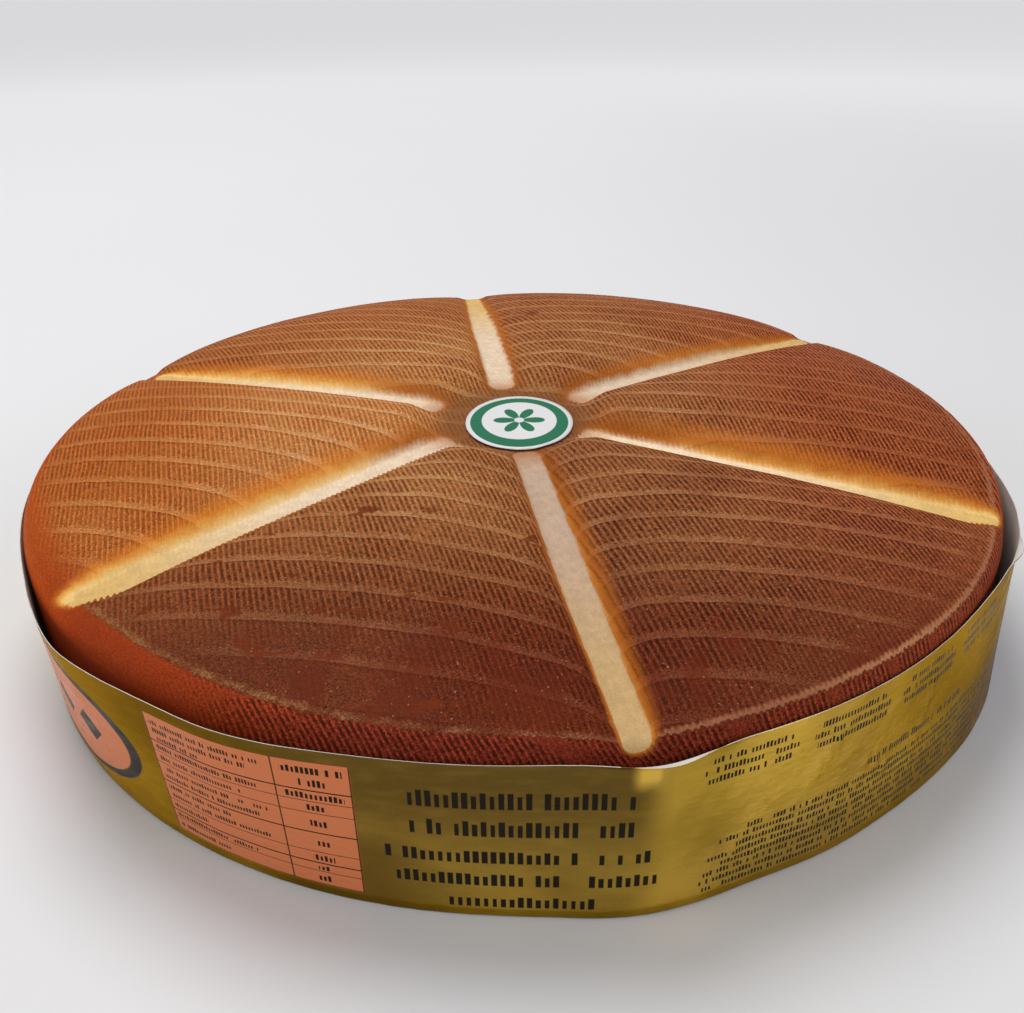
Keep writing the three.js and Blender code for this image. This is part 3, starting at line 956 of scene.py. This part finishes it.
# Yellower at the soft border beside a bright glow: partly the cream's own colour, partly painted light on the
# slope.
yellow_tone_and_light = rind.times(rind.rise(off_ragged, -2.6, -0.3, 0.0, 0.6), rind.rise(glow_tone, 0.6, 0.95))
cream = rind.blend(yellow_tone_and_light, cream, YELLOW_CREAM)
cream = rind.wash(rind.rise(floor_tone, 1.0, 1.2), cream, tint(1.10, 1.10, 1.06))
pinhole = rind.times(rind.rise(dust, 0.60, 0.68), rind.rise(fibre, 0.45, 0.55))
cream = rind.blend(rind.times(pinhole, 0.6), cream, PINHOLE)
soft_light = rind.plus(rind.rise(pores, 0.35, 0.65, 0.42, 0.54), rind.rise(dust, 0.35, 0.65, 0.43, 0.61))
cream = rind.wash(1.0, cream, soft_light)
cream = rind.blend(rind.times(threads, 0.4), cream, THREAD)
colour = rind.blend(rind.times(hub, 0.8), colour, HUB_BROWN)
rind.give(Base_Color=rind.blend(pale, colour, cream))
print("the rind's colour is mixed from", len(rind.nodes), "nodes")

# %% [markdown]
# ### Relief and gloss
#
# The ribs, rows and grain are tenths of a millimetre high. Faces that fine would be too many, so a bump does
# it: the masks are added up in millimetres, and the shader tilts the light by them.

# %% Rind: relief and gloss
smooth_fibre = rind.less(rind.less(fibre, pale, 0.75), smooth_edge, 0.6)
smooth_pores = rind.less(pores, pale, 0.6)
height_mm = rind.times(rib_wave, 0.09, rib_share)
for mask, mm in ((valley, -0.24), (row, 0.12), (smooth_fibre, 0.20), (smooth_pores, 0.22), (crest, 0.35)):
    height_mm = rind.plus(height_mm, mask, mm)
rind.give(Normal=rind.relief(height_mm, 0.001))
rind.give(Roughness=rind.rise(fibre, 0.3, 0.7, 0.46, 0.62), Specular_IOR_Level=0.02)
rind.dress(wheel)
print("rind nodes:", len(rind.nodes))

# %% [markdown]
# ## The gold paper band
#
# The band is a strip of foil-faced paper wrapped round the side and glued to itself at the back. It is tight
# where the wheel is full, and it stands off where the paper is longer than the cheese: at the front left, at
# the tip of the front groove and at the right. A strip could be solidified from a plane, but a ring is
# quicker: a circle is extruded upwards, its points are moved out to follow the paper, and Solidify gives it a
# thin wall.

# %% Band: sizes and shape
BAND_BOTTOM = 0.6
BAND_TOP = 49.9
BAND_GAP = 0.42
PAPER = 0.2
BAND_COLUMNS = 1440
BAND_LEVELS = [3.5, 7, 10.5, 14, 17.5, 21, 24.5, 28, 31.5, 35, 38.5, 42, 45, 47]
BAND_LEVELS += [48.2, 48.6, 48.8, 49.0, 49.15, 49.3]
# Where the paper stands off, and where its upper edge curls outward and shows its white back: azimuth, how
# far, and how wide.
TOP_BULGES = [(227, 4.6, 11), (246, 2.6, 8), (280.5, 2.4, 5), (336, 3.4, 12), (45, 1.1, 14), (130, 1.4, 12)]
BOTTOM_BULGES = [(281, 3.0, 8), (298, 1.2, 9), (330, 6.0, 22), (35, 1.6, 16), (130, 2.2, 16)]
CURLS = [(282, 2.0, 3.6), (331, 1.8, 2.4)]
CURL_HEIGHT = 0.8


def bulge(places, azimuth):
    return sum(far * np.exp(-((turn_between(azimuth, at) / spread) ** 2)) for at, far, spread in places)


def band_radius(azimuth, share):
    """Radius of the paper's inner face; share is 0 at the lower edge and 1 at the upper."""
    stand_off = bulge(BOTTOM_BULGES, azimuth) * (1 - share) + bulge(TOP_BULGES, azimuth) * share
    return wheel_radius(azimuth) + BAND_GAP + stand_off


print("the paper's radius at the front, halfway up:", round(float(band_radius(270, 0.5)), 1), "mm")

# %% Band: circle, extrude, move out
bpy.ops.object.select_all(action="DESELECT")
lower_edge = (0, 0, BAND_BOTTOM * MM)
bpy.ops.mesh.primitive_circle_add(vertices=BAND_COLUMNS, radius=WHEEL_RADIUS * MM, location=lower_edge)
band = name_new_piece("gold_band")
bpy.ops.object.transform_apply(location=True, rotation=False, scale=False)
bpy.ops.object.mode_set(mode="EDIT")
for lower, upper in zip([0, *BAND_LEVELS], BAND_LEVELS):
    bpy.ops.mesh.extrude_region_move(TRANSFORM_OT_translate={"value": (0, 0, (upper - lower) * MM)})
bpy.ops.mesh.select_all(action="SELECT")
bpy.ops.mesh.normals_make_consistent(inside=False)
bpy.ops.object.mode_set(mode="OBJECT")

points = read_points(band) / MM
azimuth = deg(np.arctan2(points[:, 1], points[:, 0])) % 360
share = (points[:, 2] - BAND_BOTTOM) / (BAND_TOP - BAND_BOTTOM)
paper_radius = band_radius(azimuth, share)
print("extruded band:", len(points), "points")

# %% [markdown]
# ### Waves, lap, creases and curls
#
# Thin paper never lies dead flat. Slow waves push it in and out where it is loose, and a few creases cross
# the front right, where it was handled. At the back the strip is glued over its own end, which shows as one
# upright step. At two places the upper edge curls outward.

# %% Band: waves, lap, creases and curls
WAVE_DEPTH = 0.6
RIPPLE_DEPTH = 0.05
LAP_AT = 96
LAP_HALF = 3.2
LAP_STEP = 0.3
# Each crease: azimuth, height, lean in degrees and depth in millimetres.
CREASES = [(291, 30, 25, 0.8), (297, 36, -38, 0.9), (303, 24, 48, 0.7), (310, 34, -20, 0.7)]
CREASES += [(288, 14, 60, 0.6)]
CREASE_HALF_WIDTH = 0.9
CREASE_HALF_LENGTH = 9

loose = np.clip((paper_radius - wheel_radius(azimuth) - BAND_GAP) / 2, 0.0, 1)
waves = np.array([noise.noise(Vector((a / 4.5, s * 1.6, 1.3))) for a, s in zip(azimuth, share)])
ripple = np.array([noise.noise(Vector((a / 1.3, s * 5, 6.3))) for a, s in zip(azimuth, share)])
lap_turn = (azimuth - LAP_AT + 180) % 360 - 180
lap = smooth_step(lap_turn, -LAP_HALF - 1.5, -LAP_HALF) * (lap_turn < LAP_HALF)
paper_radius += LAP_STEP * lap
paper_radius += (0.5 + 0.5 * waves) * (0.25 + 0.5 * loose) * WAVE_DEPTH + ripple * RIPPLE_DEPTH
for at, up_mm, lean_degrees, deep in CREASES:
    along = (azimuth - at) * math.radians(1) * WHEEL_RADIUS
    above = share * (BAND_TOP - BAND_BOTTOM) - up_mm
    lean = math.radians(lean_degrees)
    cross = along * math.cos(lean) + above * math.sin(lean)
    run = -along * math.sin(lean) + above * math.cos(lean)
    paper_radius += deep * np.exp(-((cross / CREASE_HALF_WIDTH) ** 2) - (run / CREASE_HALF_LENGTH) ** 2)
curl_share = np.clip((points[:, 2] - BAND_TOP + CURL_HEIGHT) / CURL_HEIGHT, 0, 1)
paper_radius += bulge(CURLS, azimuth) * curl_share
points[:, 0] = paper_radius * np.cos(np.radians(azimuth))
points[:, 1] = paper_radius * np.sin(np.radians(azimuth))
write_points(band, points * MM)
print("band from", round(float(paper_radius.min()), 1), "to", round(float(paper_radius.max()), 1), "mm")

# %% Band: where the print goes, and its wall
# The print follows the paper, so each point keeps its way round the band and its height, both in millimetres.
PRINT_RADIUS = 168.5
store(band, "round_mm", np.radians(azimuth) * PRINT_RADIUS)
store(band, "up_mm", points[:, 2])
solidify = band.modifiers.new("paper", "SOLIDIFY")
solidify.thickness = PAPER * MM
solidify.offset = 1.0
solidify.use_rim = True
solidify.material_offset = 1
pick(band)
bpy.ops.object.modifier_apply(modifier="paper")
settle(band)

# %% [markdown]
# ## Gold foil and its print
#
# The outer face is gold foil, the inner face and the cut edge are plain white paper, so the band carries two
# finishes. The foil is a metal with a soft, slightly streaky gloss. The print is a set of plain shapes placed
# by millimetres round the band and up it: an oval field, a ruled table, five broad lines and blocks of fine
# lines. The lines are only rows of upright strokes, cut to the lengths of words, so that nothing can be read.
#
# One colour ramp can hold a whole column of rows. Fed with the height up the band, it gives in its red how
# long the row is, in its green where the row starts, and in its blue how tall it is. That keeps the net of
# nodes small.

# %% Foil: print helpers
foil = Finish("gold_foil")
around = foil.read("round_mm")
upward = foil.read("up_mm")
LONGEST_ROW = 160.0
RAMP_HEIGHT = 50.0
TALLEST_ROW = 8.0
# The rows' heights are spread far apart, so that no two rows draw the same dice.
ROW_SPREAD = 97.0
ramp_place = foil.times(upward, 1 / RAMP_HEIGHT)


def arc(azimuth):
    """Way round the band to an azimuth, in millimetres."""
    return math.radians(azimuth) * PRINT_RADIUS


def past(azimuth):
    """How far round a point is past an azimuth, in millimetres."""
    return foil.minus(around, arc(azimuth))


def inside(value, low, high, soft=0.15):
    """1 between low and high, 0 outside, with a soft border."""
    half = (high - low) / 2
    away = foil.calc("ABSOLUTE", foil.minus(value, (low + high) / 2))
    return foil.rise(away, half - soft, half + soft, 1.0, 0.0)


def between(first, last, soft):
    """1 between two azimuths, with a soft border given in millimetres."""
    return inside(around, arc(first), arc(last), soft)


def from_to(first, last, start=0.0, end=1.0):
    """A smooth step round the band, from one azimuth to another."""
    return foil.rise(around, arc(first), arc(last), start, end)


def stepped_ramp(stops):
    """A ramp up the band without blending: each stop holds its colour up to the next one."""
    node = foil.nodes.new("ShaderNodeValToRGB")
    node.color_ramp.interpolation = "CONSTANT"
    foil.feed(node.inputs["Fac"], ramp_place)
    while len(node.color_ramp.elements) > 1:
        node.color_ramp.elements.remove(node.color_ramp.elements[-1])
    node.color_ramp.elements[0].position = 0
    node.color_ramp.elements[0].color = tint(0, 0, 0)
    for height, colour in sorted(stops):
        element = node.color_ramp.elements.new(height / RAMP_HEIGHT)
        element.color = tint(*colour)
    return node.outputs["Color"]


def rows(start, letter, lines, centred=True):
    """A block of rows, each (lowest height, how tall, how long). Returns its mask and its stroke place."""
    stops = []
    for low, tall, long in lines:
        stops.append((low - 0.1, (long / LONGEST_ROW, low / RAMP_HEIGHT, tall / TALLEST_ROW)))
        stops.append((low + tall + 0.1, (0, 0, 0)))
    length, low, tall = foil.split(stepped_ramp(stops))
    half = foil.times(length, LONGEST_ROW / 2)
    along = foil.minus(start, 0.0 if centred else half)
    mask = foil.rise(foil.minus(foil.calc("ABSOLUTE", along), half), -0.2, 0.0, 1.0, 0.0)
    full = foil.times(tall, TALLEST_ROW / RAMP_HEIGHT)
    share = foil.calc("DIVIDE", foil.minus(ramp_place, low), full)
    return mask, foil.join(foil.times(around, 1 / letter), share, foil.times(low, ROW_SPREAD))


print("print helpers are ready")

# %% [markdown]
# ### The table
#
# The table is a salmon field with black rules. Its upright rules are narrow stripes, and its level rules are
# one more stepped ramp. Two columns of rows stand in it.

# %% Foil: the table
TABLE_LEFT = arc(237.8)
TABLE_RIGHT = arc(257.1)
TABLE_DIVIDER = arc(250.6)
TABLE_FOOT = 3.8
TABLE_HEAD = 46.2
TABLE_RULES = [3.9, 8.6, 11.6, 15.6, 22.6, 29.3, 33.2, 36.8, 46.1]
RULE_HALF = 0.16
SIDE_RULE = 0.35
DIVIDER_HALF = 0.18

table_field = foil.times(inside(around, TABLE_LEFT, TABLE_RIGHT), inside(upward, TABLE_FOOT, TABLE_HEAD))
rule_stops = []
for rule in TABLE_RULES:
    rule_stops.append((rule - RULE_HALF, (1, 1, 1)))
    rule_stops.append((rule + RULE_HALF, (0, 0, 0)))
upright_rules = foil.either(
    inside(around, TABLE_LEFT, TABLE_LEFT + SIDE_RULE),
    inside(around, TABLE_RIGHT - SIDE_RULE, TABLE_RIGHT),
    inside(around, TABLE_DIVIDER - DIVIDER_HALF, TABLE_DIVIDER + DIVIDER_HALF),
)
table_rules = foil.times(table_field, foil.either(upright_rules, stepped_ramp(rule_stops)))

LEFT_ROWS = [(42.6, 1.7, 33), (40.0, 1.7, 29), (37.4, 1.7, 15), (34.2, 1.7, 31), (30.4, 1.7, 26)]
LEFT_ROWS += [(26.6, 1.6, 34), (23.8, 1.6, 30), (19.8, 1.6, 21), (16.8, 1.6, 32), (12.8, 1.6, 12)]
LEFT_ROWS += [(9.3, 1.5, 27), (5.4, 1.6, 18)]
RIGHT_ROWS = [(42.2, 2.3, 15.6), (38.2, 2.5, 7), (34.0, 2.2, 15.4), (30.2, 2.2, 5), (24.8, 2.3, 4.6)]
RIGHT_ROWS += [(18.0, 2.3, 5), (12.6, 2.2, 6), (9.1, 1.8, 4.4), (5.1, 2.3, 5)]
blocks = [rows(foil.minus(around, TABLE_LEFT + 1.4), 0.85, LEFT_ROWS, centred=False)]
blocks.append(rows(foil.minus(around, (TABLE_DIVIDER + TABLE_RIGHT) / 2), 1.2, RIGHT_ROWS))
print("table nodes:", len(foil.nodes))

# %% [markdown]
# ### Broad lines and fine lines
#
# Five broad lines stand at the front. To their right four small blocks stand side by side, each three rows
# high, and one node brings them all to the same place. Nine fine lines run below them.

# %% Foil: broad lines and fine lines
TITLE_ROWS = [(36.3, 5.6, 53), (27.5, 5.4, 52), (18.7, 4.4, 69), (11.0, 4.4, 64.5), (3.5, 4.1, 36.4)]
SMALL_ROWS = [(44.7, 2.0, 22), (41.7, 2.0, 26), (38.8, 2.0, 24)]
FINE_ROWS = [(25.0, 2.7, 44), (20.7, 1.8, 118), (18.3, 1.8, 136), (15.8, 1.8, 124), (13.4, 1.8, 140)]
FINE_ROWS += [(11.0, 1.8, 132), (8.6, 1.8, 141), (6.1, 1.8, 143), (3.6, 1.8, 141)]
TITLE_AT = 270.3
SMALL_FROM = 283.9
SMALL_TO = 325.1
SMALL_PITCH = 10.3
FINE_AT = 309.2

blocks.append(rows(past(TITLE_AT), 2.1, TITLE_ROWS))
small_start = foil.calc("FLOORED_MODULO", past(SMALL_FROM), arc(SMALL_PITCH))
small_mask, small_place = rows(foil.minus(small_start, arc(SMALL_PITCH / 2)), 1.0, SMALL_ROWS)
blocks.append((foil.times(small_mask, inside(around, arc(SMALL_FROM), arc(SMALL_TO))), small_place))
blocks.append(rows(past(FINE_AT), 0.95, FINE_ROWS))
print("nodes with all rows:", len(foil.nodes))

# %% [markdown]
# ### Strokes
#
# Only one net draws the strokes, for all blocks: it is told how wide they are and which row it is on. Dice
# thrown for each stroke say whether it is left out as a gap between words, how broad it is, and whether it is
# tall.

# %% Foil: strokes
any_block, stroke_place = blocks[0]
for mask, place in blocks[1:]:
    any_block = foil.either(any_block, foil.rise(mask, 0.8, 1.0))
    mix = foil.nodes.new("ShaderNodeMix")
    mix.data_type = "VECTOR"
    foil.feed(mix.inputs["Factor"], mask)
    foil.feed(mix.inputs[4], stroke_place)
    foil.feed(mix.inputs[5], place)
    stroke_place = mix.outputs[1]
stroke_x, stroke_share, row_id = foil.split(stroke_place)
stroke_number = foil.calc("FLOOR", stroke_x)
dice = foil.nodes.new("ShaderNodeTexWhiteNoise")
dice.noise_dimensions = "2D"
foil.feed(dice.inputs["Vector"], foil.join(stroke_number, row_id, 0.0))
word = foil.calc("GREATER_THAN", foil.split(dice.outputs["Color"])[1], 0.14)
stroke_middle = foil.calc("ABSOLUTE", foil.minus(foil.calc("FRACT", stroke_x), 0.5))
stroke_half = foil.plus(0.24, dice.outputs["Value"], 0.12)
cut = foil.rise(foil.minus(stroke_middle, stroke_half), -0.05, 0.05, 1.0, 0.0)
tall_share = foil.plus(0.80, foil.calc("GREATER_THAN", dice.outputs["Value"], 0.6), 0.18)
stroke_foot = foil.rise(stroke_share, 0.0, 0.08)
stroke_head = foil.rise(foil.minus(stroke_share, tall_share), -0.08, 0.0, 1.0, 0.0)
strokes = foil.times(any_block, word, cut, stroke_foot, stroke_head)
print("nodes with the strokes:", len(foil.nodes))

# %% [markdown]
# ### The oval field
#
# An even border runs round the oval, and a row of small diamonds crosses its middle. A point's distance from
# the middle, counted in half-axes, is 1 all along the oval, so the field and its border are steps of that
# distance.

# %% Foil: oval field
OVAL_AT = arc(216.5)
OVAL_MIDDLE = 24.6
OVAL_HALF_LENGTH = 50.5
OVAL_HALF_HEIGHT = 20.6
DIAMOND_PITCH = 8.0

oval_x = foil.calc("DIVIDE", foil.minus(around, OVAL_AT), OVAL_HALF_LENGTH)
oval_y = foil.calc("DIVIDE", foil.minus(upward, OVAL_MIDDLE), OVAL_HALF_HEIGHT)
oval = foil.length(oval_x, oval_y)
oval_edge = foil.rise(oval, 1.07, 1.09, 1.0, 0.0)
oval_field = foil.rise(oval, 0.98, 1.0, 1.0, 0.0)
diamond_x = foil.calc("PINGPONG", foil.minus(around, OVAL_AT), DIAMOND_PITCH)
diamond = foil.plus(diamond_x, foil.calc("ABSOLUTE", foil.minus(upward, OVAL_MIDDLE)))
diamond = foil.times(foil.rise(diamond, 5.9, 6.2, 1.0, 0.0), foil.rise(oval, 0.78, 0.79, 1.0, 0.0))
black = foil.either(table_rules, strokes, diamond, foil.minus(oval_edge, oval_field))
salmon = foil.either(table_field, oval_field)
print("the foil's print has", len(foil.nodes), "nodes")

# %% [markdown]
# ### The metal
#
# Foil is as bright as what it mirrors, and round a wheel that changes from place to place. These reflections
# are painted into the gold's colour, and a slow noise mixes painted bright and dark reflection. Painted dark
# reflections lie at the front left, low down at the front, low down at the right and at the far right, and at
# the right the gold is less yellow too. Each of these places is a mask, and a wash changes the gold there.
# The fold under the front curl ends the painted dark reflection at the front sharply, and one painted glint
# stands beside it.

# %% Foil: painted reflections on the metal
GOLD = tint(0.74, 0.475, 0.078)
GOLD_DARK_REFLECTION = tint(0.25, 0.155, 0.030)
flat_place = foil.join(around, upward, 0.0)
streak = foil.grain(foil.join(foil.times(around, 0.3), upward, 0.0), 0.35, 3.0)
cloud = foil.grain(flat_place, 0.03, 3.0)
# Masks of painted reflection: in each the gold is darkened or made less yellow, and in the glint it is lit
# up.
left_of_fold = from_to(282.5, 279)
glint = foil.times(between(279.0, 281.2, 1.8), foil.rise(upward, 40, 46))
painted_dark_reflection_front = foil.times(from_to(205, 219), left_of_fold, foil.rise(upward, 8, 44, 0.25, 1.0))
right_end = between(318, 372, 30.0)
pale_right = between(320, 372, 20.0)
low_right = foil.times(between(289, 372, 30.0), foil.rise(upward, 30, 8, 0.0, 0.8))
low_right = foil.times(low_right, from_to(306, 320, 0.6, 1.0))
high_right = foil.times(between(297, 317, 14.0), foil.rise(upward, 16, 28))
low_front = foil.times(between(248, 263, 14.0), foil.rise(upward, 38, 18))
dark_reflection_near_right = foil.less(foil.times(between(280.5, 288, 7.0), foil.rise(upward, 10, 24)), glint)
painted_dark_reflection_left = foil.times(from_to(228, 240), left_of_fold, foil.rise(upward, 8, 42, 0.2, 0.75))
painted_dark_reflection = foil.less(foil.either(painted_dark_reflection_left, right_end, low_right, low_front), glint)

# Painted bright and dark reflection, mixed by a slow noise, with the painted glint on top.
painted_bright_reflection = foil.less(foil.rise(cloud, 0.28, 0.66, 0.45, 1.0), painted_dark_reflection_front)
gold = foil.blend(foil.either(painted_bright_reflection, glint), GOLD_DARK_REFLECTION, GOLD)
gold = foil.blend(foil.rise(streak, 0.4, 0.75, 0.0, 0.2), gold, GOLD)
# Washes of painted dark reflection, and the gold made less yellow at the right.
gold = foil.wash(painted_dark_reflection, gold, tint(0.40, 0.38, 0.50))
gold = foil.wash(pale_right, gold, tint(0.66, 0.66, 1.95))
gold = foil.wash(high_right, gold, tint(0.72, 0.70, 0.90))
gold = foil.wash(low_right, gold, tint(1.0, 1.05, 2.2))
gold = foil.wash(dark_reflection_near_right, gold, tint(0.70, 0.70, 0.62))
print("the metal is mixed from", len(foil.nodes), "nodes")

# %% [markdown]
# ### Ink, gloss and crumpling
#
# Ink covers the metal, so it is matt where it lies. A broad crumple and small dimples tilt the light on the
# foil, most where it was handled at the front right.

# %% Foil: ink, gloss and crumpling
SALMON = tint(0.68, 0.205, 0.080)
PRINT_BLACK = tint(0.010, 0.008, 0.006)
ink = foil.blend(salmon, gold, SALMON)
ink = foil.blend(black, ink, PRINT_BLACK)
printed = foil.either(black, foil.times(salmon, 0.9))
foil.give(Base_Color=ink, Metallic=foil.rise(printed, 0.0, 1.0, 0.9, 0.0))
foil.give(Roughness=foil.rise(streak, 0.3, 0.7, 0.26, 0.40), Specular_IOR_Level=0.1)
foil.give(Specular_Tint=tint(0.9, 0.62, 0.16))
crumple = foil.grain(flat_place, 0.12, 2.0)
dimple = foil.grain(foil.join(around, foil.times(upward, 2.5), 0.0), 0.3, 2.0)
handled = foil.rise(between(284, 316, 22.0), 0.0, 1.0, 0.4, 1.5)
foil_height = foil.times(foil.plus(foil.times(crumple, 0.5), dimple, 0.10), handled)
foil.give(Normal=foil.relief(foil_height, 0.001, 0.8))
foil.dress(band)
print("foil nodes:", len(foil.nodes))

# %% Paper: the band's white back
# The white paper is given a grey tone, painted shade for the band's inner side.
PAPER_DIM = tint(0.54, 0.50, 0.45)
PAPER_BRIGHT = tint(0.66, 0.63, 0.58)
paper = Finish("white_paper")
paper_spot = paper.place()
paper_cloud = paper.rise(paper.grain(paper_spot, 0.06, 3.0), 0.3, 0.7)
paper.give(Base_Color=paper.blend(paper_cloud, PAPER_DIM, PAPER_BRIGHT), Roughness=0.7)
paper.give(Normal=paper.relief(paper.grain(paper_spot, 0.8, 3.0), 0.0001))
band.data.materials.append(paper.material)
# The faces that look outward are foil. All others are the paper's back and its cut edge.
for face in band.data.polygons:
    outward = Vector((face.center.x - AXIS.x, face.center.y - AXIS.y, 0)).normalized()
    face.material_index = 0 if face.normal.dot(outward) > 0.5 else 1
print("band faces:", len(band.data.polygons))

# %% [markdown]
# ## The label on the hub
#
# The label is a thin oval of coated paper that has taken the shape of the hub under it. A filled circle is
# inset ring by ring so that it can bend, laid over the cheese by the same rule as the pillows, and given its
# thickness.

# %% Label: a disc laid on the hub
LABEL_HALF_WIDTH = 19.5
LABEL_HALF_LENGTH = 23.0
LABEL_X = 2.6
LABEL_Y = -4.4
LABEL_LIFT = 0.3
LABEL_RIM_LIFT = 0.12
LABEL_RINGS = 14

bpy.ops.object.select_all(action="DESELECT")
bpy.ops.mesh.primitive_circle_add(vertices=96, radius=1.0, fill_type="NGON", location=(0, 0, 0))
label = name_new_piece("hub_label")
bpy.ops.object.mode_set(mode="EDIT")
bpy.ops.mesh.select_all(action="SELECT")
for _ in range(LABEL_RINGS - 1):
    bpy.ops.mesh.inset(thickness=1.0 / LABEL_RINGS, depth=0)
bpy.ops.mesh.poke()
bpy.ops.object.mode_set(mode="OBJECT")
disc = read_points(label)
label_x = LABEL_X + disc[:, 0] * LABEL_HALF_WIDTH
label_y = LABEL_Y + disc[:, 1] * LABEL_HALF_LENGTH
under = top_height(np.hypot(label_x, label_y), deg(np.arctan2(label_y, label_x)) % 360)
lift = LABEL_LIFT + LABEL_RIM_LIFT * np.hypot(disc[:, 0], disc[:, 1]) ** 8
write_points(label, np.stack([label_x, label_y, under + lift], axis=1) * MM)
store(label, "oval_x", disc[:, 0])
store(label, "oval_y", disc[:, 1])
thick = label.modifiers.new("paper", "SOLIDIFY")
thick.thickness = PAPER * MM
thick.offset = 1.0
pick(label)
bpy.ops.object.modifier_apply(modifier="paper")
settle(label)

# %% [markdown]
# ## The label's print
#
# A white rim, a green ring and a white field, with a plain six-petalled rosette in the same green. The oval's
# own coordinates, from -1 to 1 each way, were kept on the mesh, so the ring follows the cut edge exactly.

# %% Label: ring and rosette
LABEL_GREEN = tint(0.004, 0.135, 0.062)
LABEL_WHITE = tint(0.66, 0.65, 0.65)
coated = Finish("label_paper")
u = coated.read("oval_x")
v = coated.read("oval_y")
inner_v = coated.minus(v, 0.05)
outer = coated.length(u, v)
inner = coated.length(u, inner_v)
ring = coated.times(coated.rise(outer, 0.905, 0.925, 1.0, 0.0), coated.rise(inner, 0.69, 0.71))
petal_turn = coated.calc("ARCTAN2", inner_v, u)
petal = coated.calc("ABSOLUTE", coated.calc("COSINE", coated.times(petal_turn, 3.0)))
petal_reach = coated.plus(0.04, coated.calc("POWER", petal, 0.8), 0.44)
rosette = coated.rise(coated.minus(inner, petal_reach), -0.012, 0.012, 1.0, 0.0)
eye = coated.rise(inner, 0.085, 0.1)
green = coated.either(ring, coated.times(rosette, eye))
coated.give(Base_Color=coated.blend(green, LABEL_WHITE, LABEL_GREEN), Roughness=0.38, Specular_IOR_Level=0.22)
coated.give(Normal=coated.relief(coated.grain(coated.place(), 0.25, 2.0), 0.0004))
coated.dress(label)
print("label nodes:", len(coated.nodes))

# %% [markdown]
# ## Floor and light
#
# The setting is a plain pale floor and soft studio light. A large lamp behind and above on the left gives the
# long soft sheen, a weaker one at the front right and another at the left open the shadows, and an even pale
# world lights the rest. Far from the lamps a floor falls dark, so a faint glow out there keeps the background
# as pale as the near floor.

# %% Floor
bpy.ops.object.select_all(action="DESELECT")
bpy.ops.mesh.primitive_plane_add(size=60, location=(0, 0, 0))
floor = name_new_piece("floor")
FLOOR_DIM = tint(0.66, 0.66, 0.67)
FLOOR_BRIGHT = tint(0.70, 0.70, 0.71)
ground = Finish("floor_paint")
floor_spot = ground.place(1.0)
floor_cloud = ground.grain(floor_spot, 1.5, 2.0)
floor_x, floor_y, _ = ground.split(floor_spot)
far_glow = ground.rise(ground.length(floor_x, floor_y), 0.35, 1.9, 0.0, 0.44)
ground.give(Base_Color=ground.blend(floor_cloud, FLOOR_DIM, FLOOR_BRIGHT), Roughness=0.6)
ground.give(Emission_Color=tint(0.95, 0.95, 0.97), Emission_Strength=far_glow)
ground.dress(floor)
print("floor nodes:", len(ground.nodes))

# %% Light
def soft_lamp(name, place, aim, size, watts):
    data = bpy.data.lights.new(name, "AREA")
    data.shape = "DISK"
    data.size = size
    data.energy = watts
    lamp = bpy.data.objects.new(name, data)
    bpy.context.scene.collection.objects.link(lamp)
    lamp.location = place
    lamp.rotation_euler = (Vector(aim) - Vector(place)).to_track_quat("-Z", "Y").to_euler()


soft_lamp("key", (-0.25, 0.55, 1.35), (0, 0, 0.03), 0.9, 15)
soft_lamp("fill", (1.0, -0.9, 0.8), (0, 0, 0.03), 0.8, 6)
soft_lamp("side", (-1.2, -0.35, 0.6), (-0.1, 0, 0.03), 0.7, 4)
world = bpy.data.worlds.new("studio")
bpy.context.scene.world = world
world.use_nodes = True
background = world.node_tree.nodes["Background"]
background.inputs["Color"].default_value = (0.90, 0.90, 0.92, 1)
background.inputs["Strength"].default_value = 0.42
bpy.context.scene.view_settings.view_transform = "Standard"
print("lights are set")

# %% [markdown]
# ## The pieces take the solids' places
#
# Each new piece stands for one solid of the frame and rides on the body, and the solid it stands for is
# hidden.

# %% Ride and replace
for piece, node, slot_name in (
    (wheel, "cheese", "smoked_rind"),
    (band, "band", "gold_paper"),
    (label, "label", "label_paper"),
):
    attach(piece, "root")
    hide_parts(node)
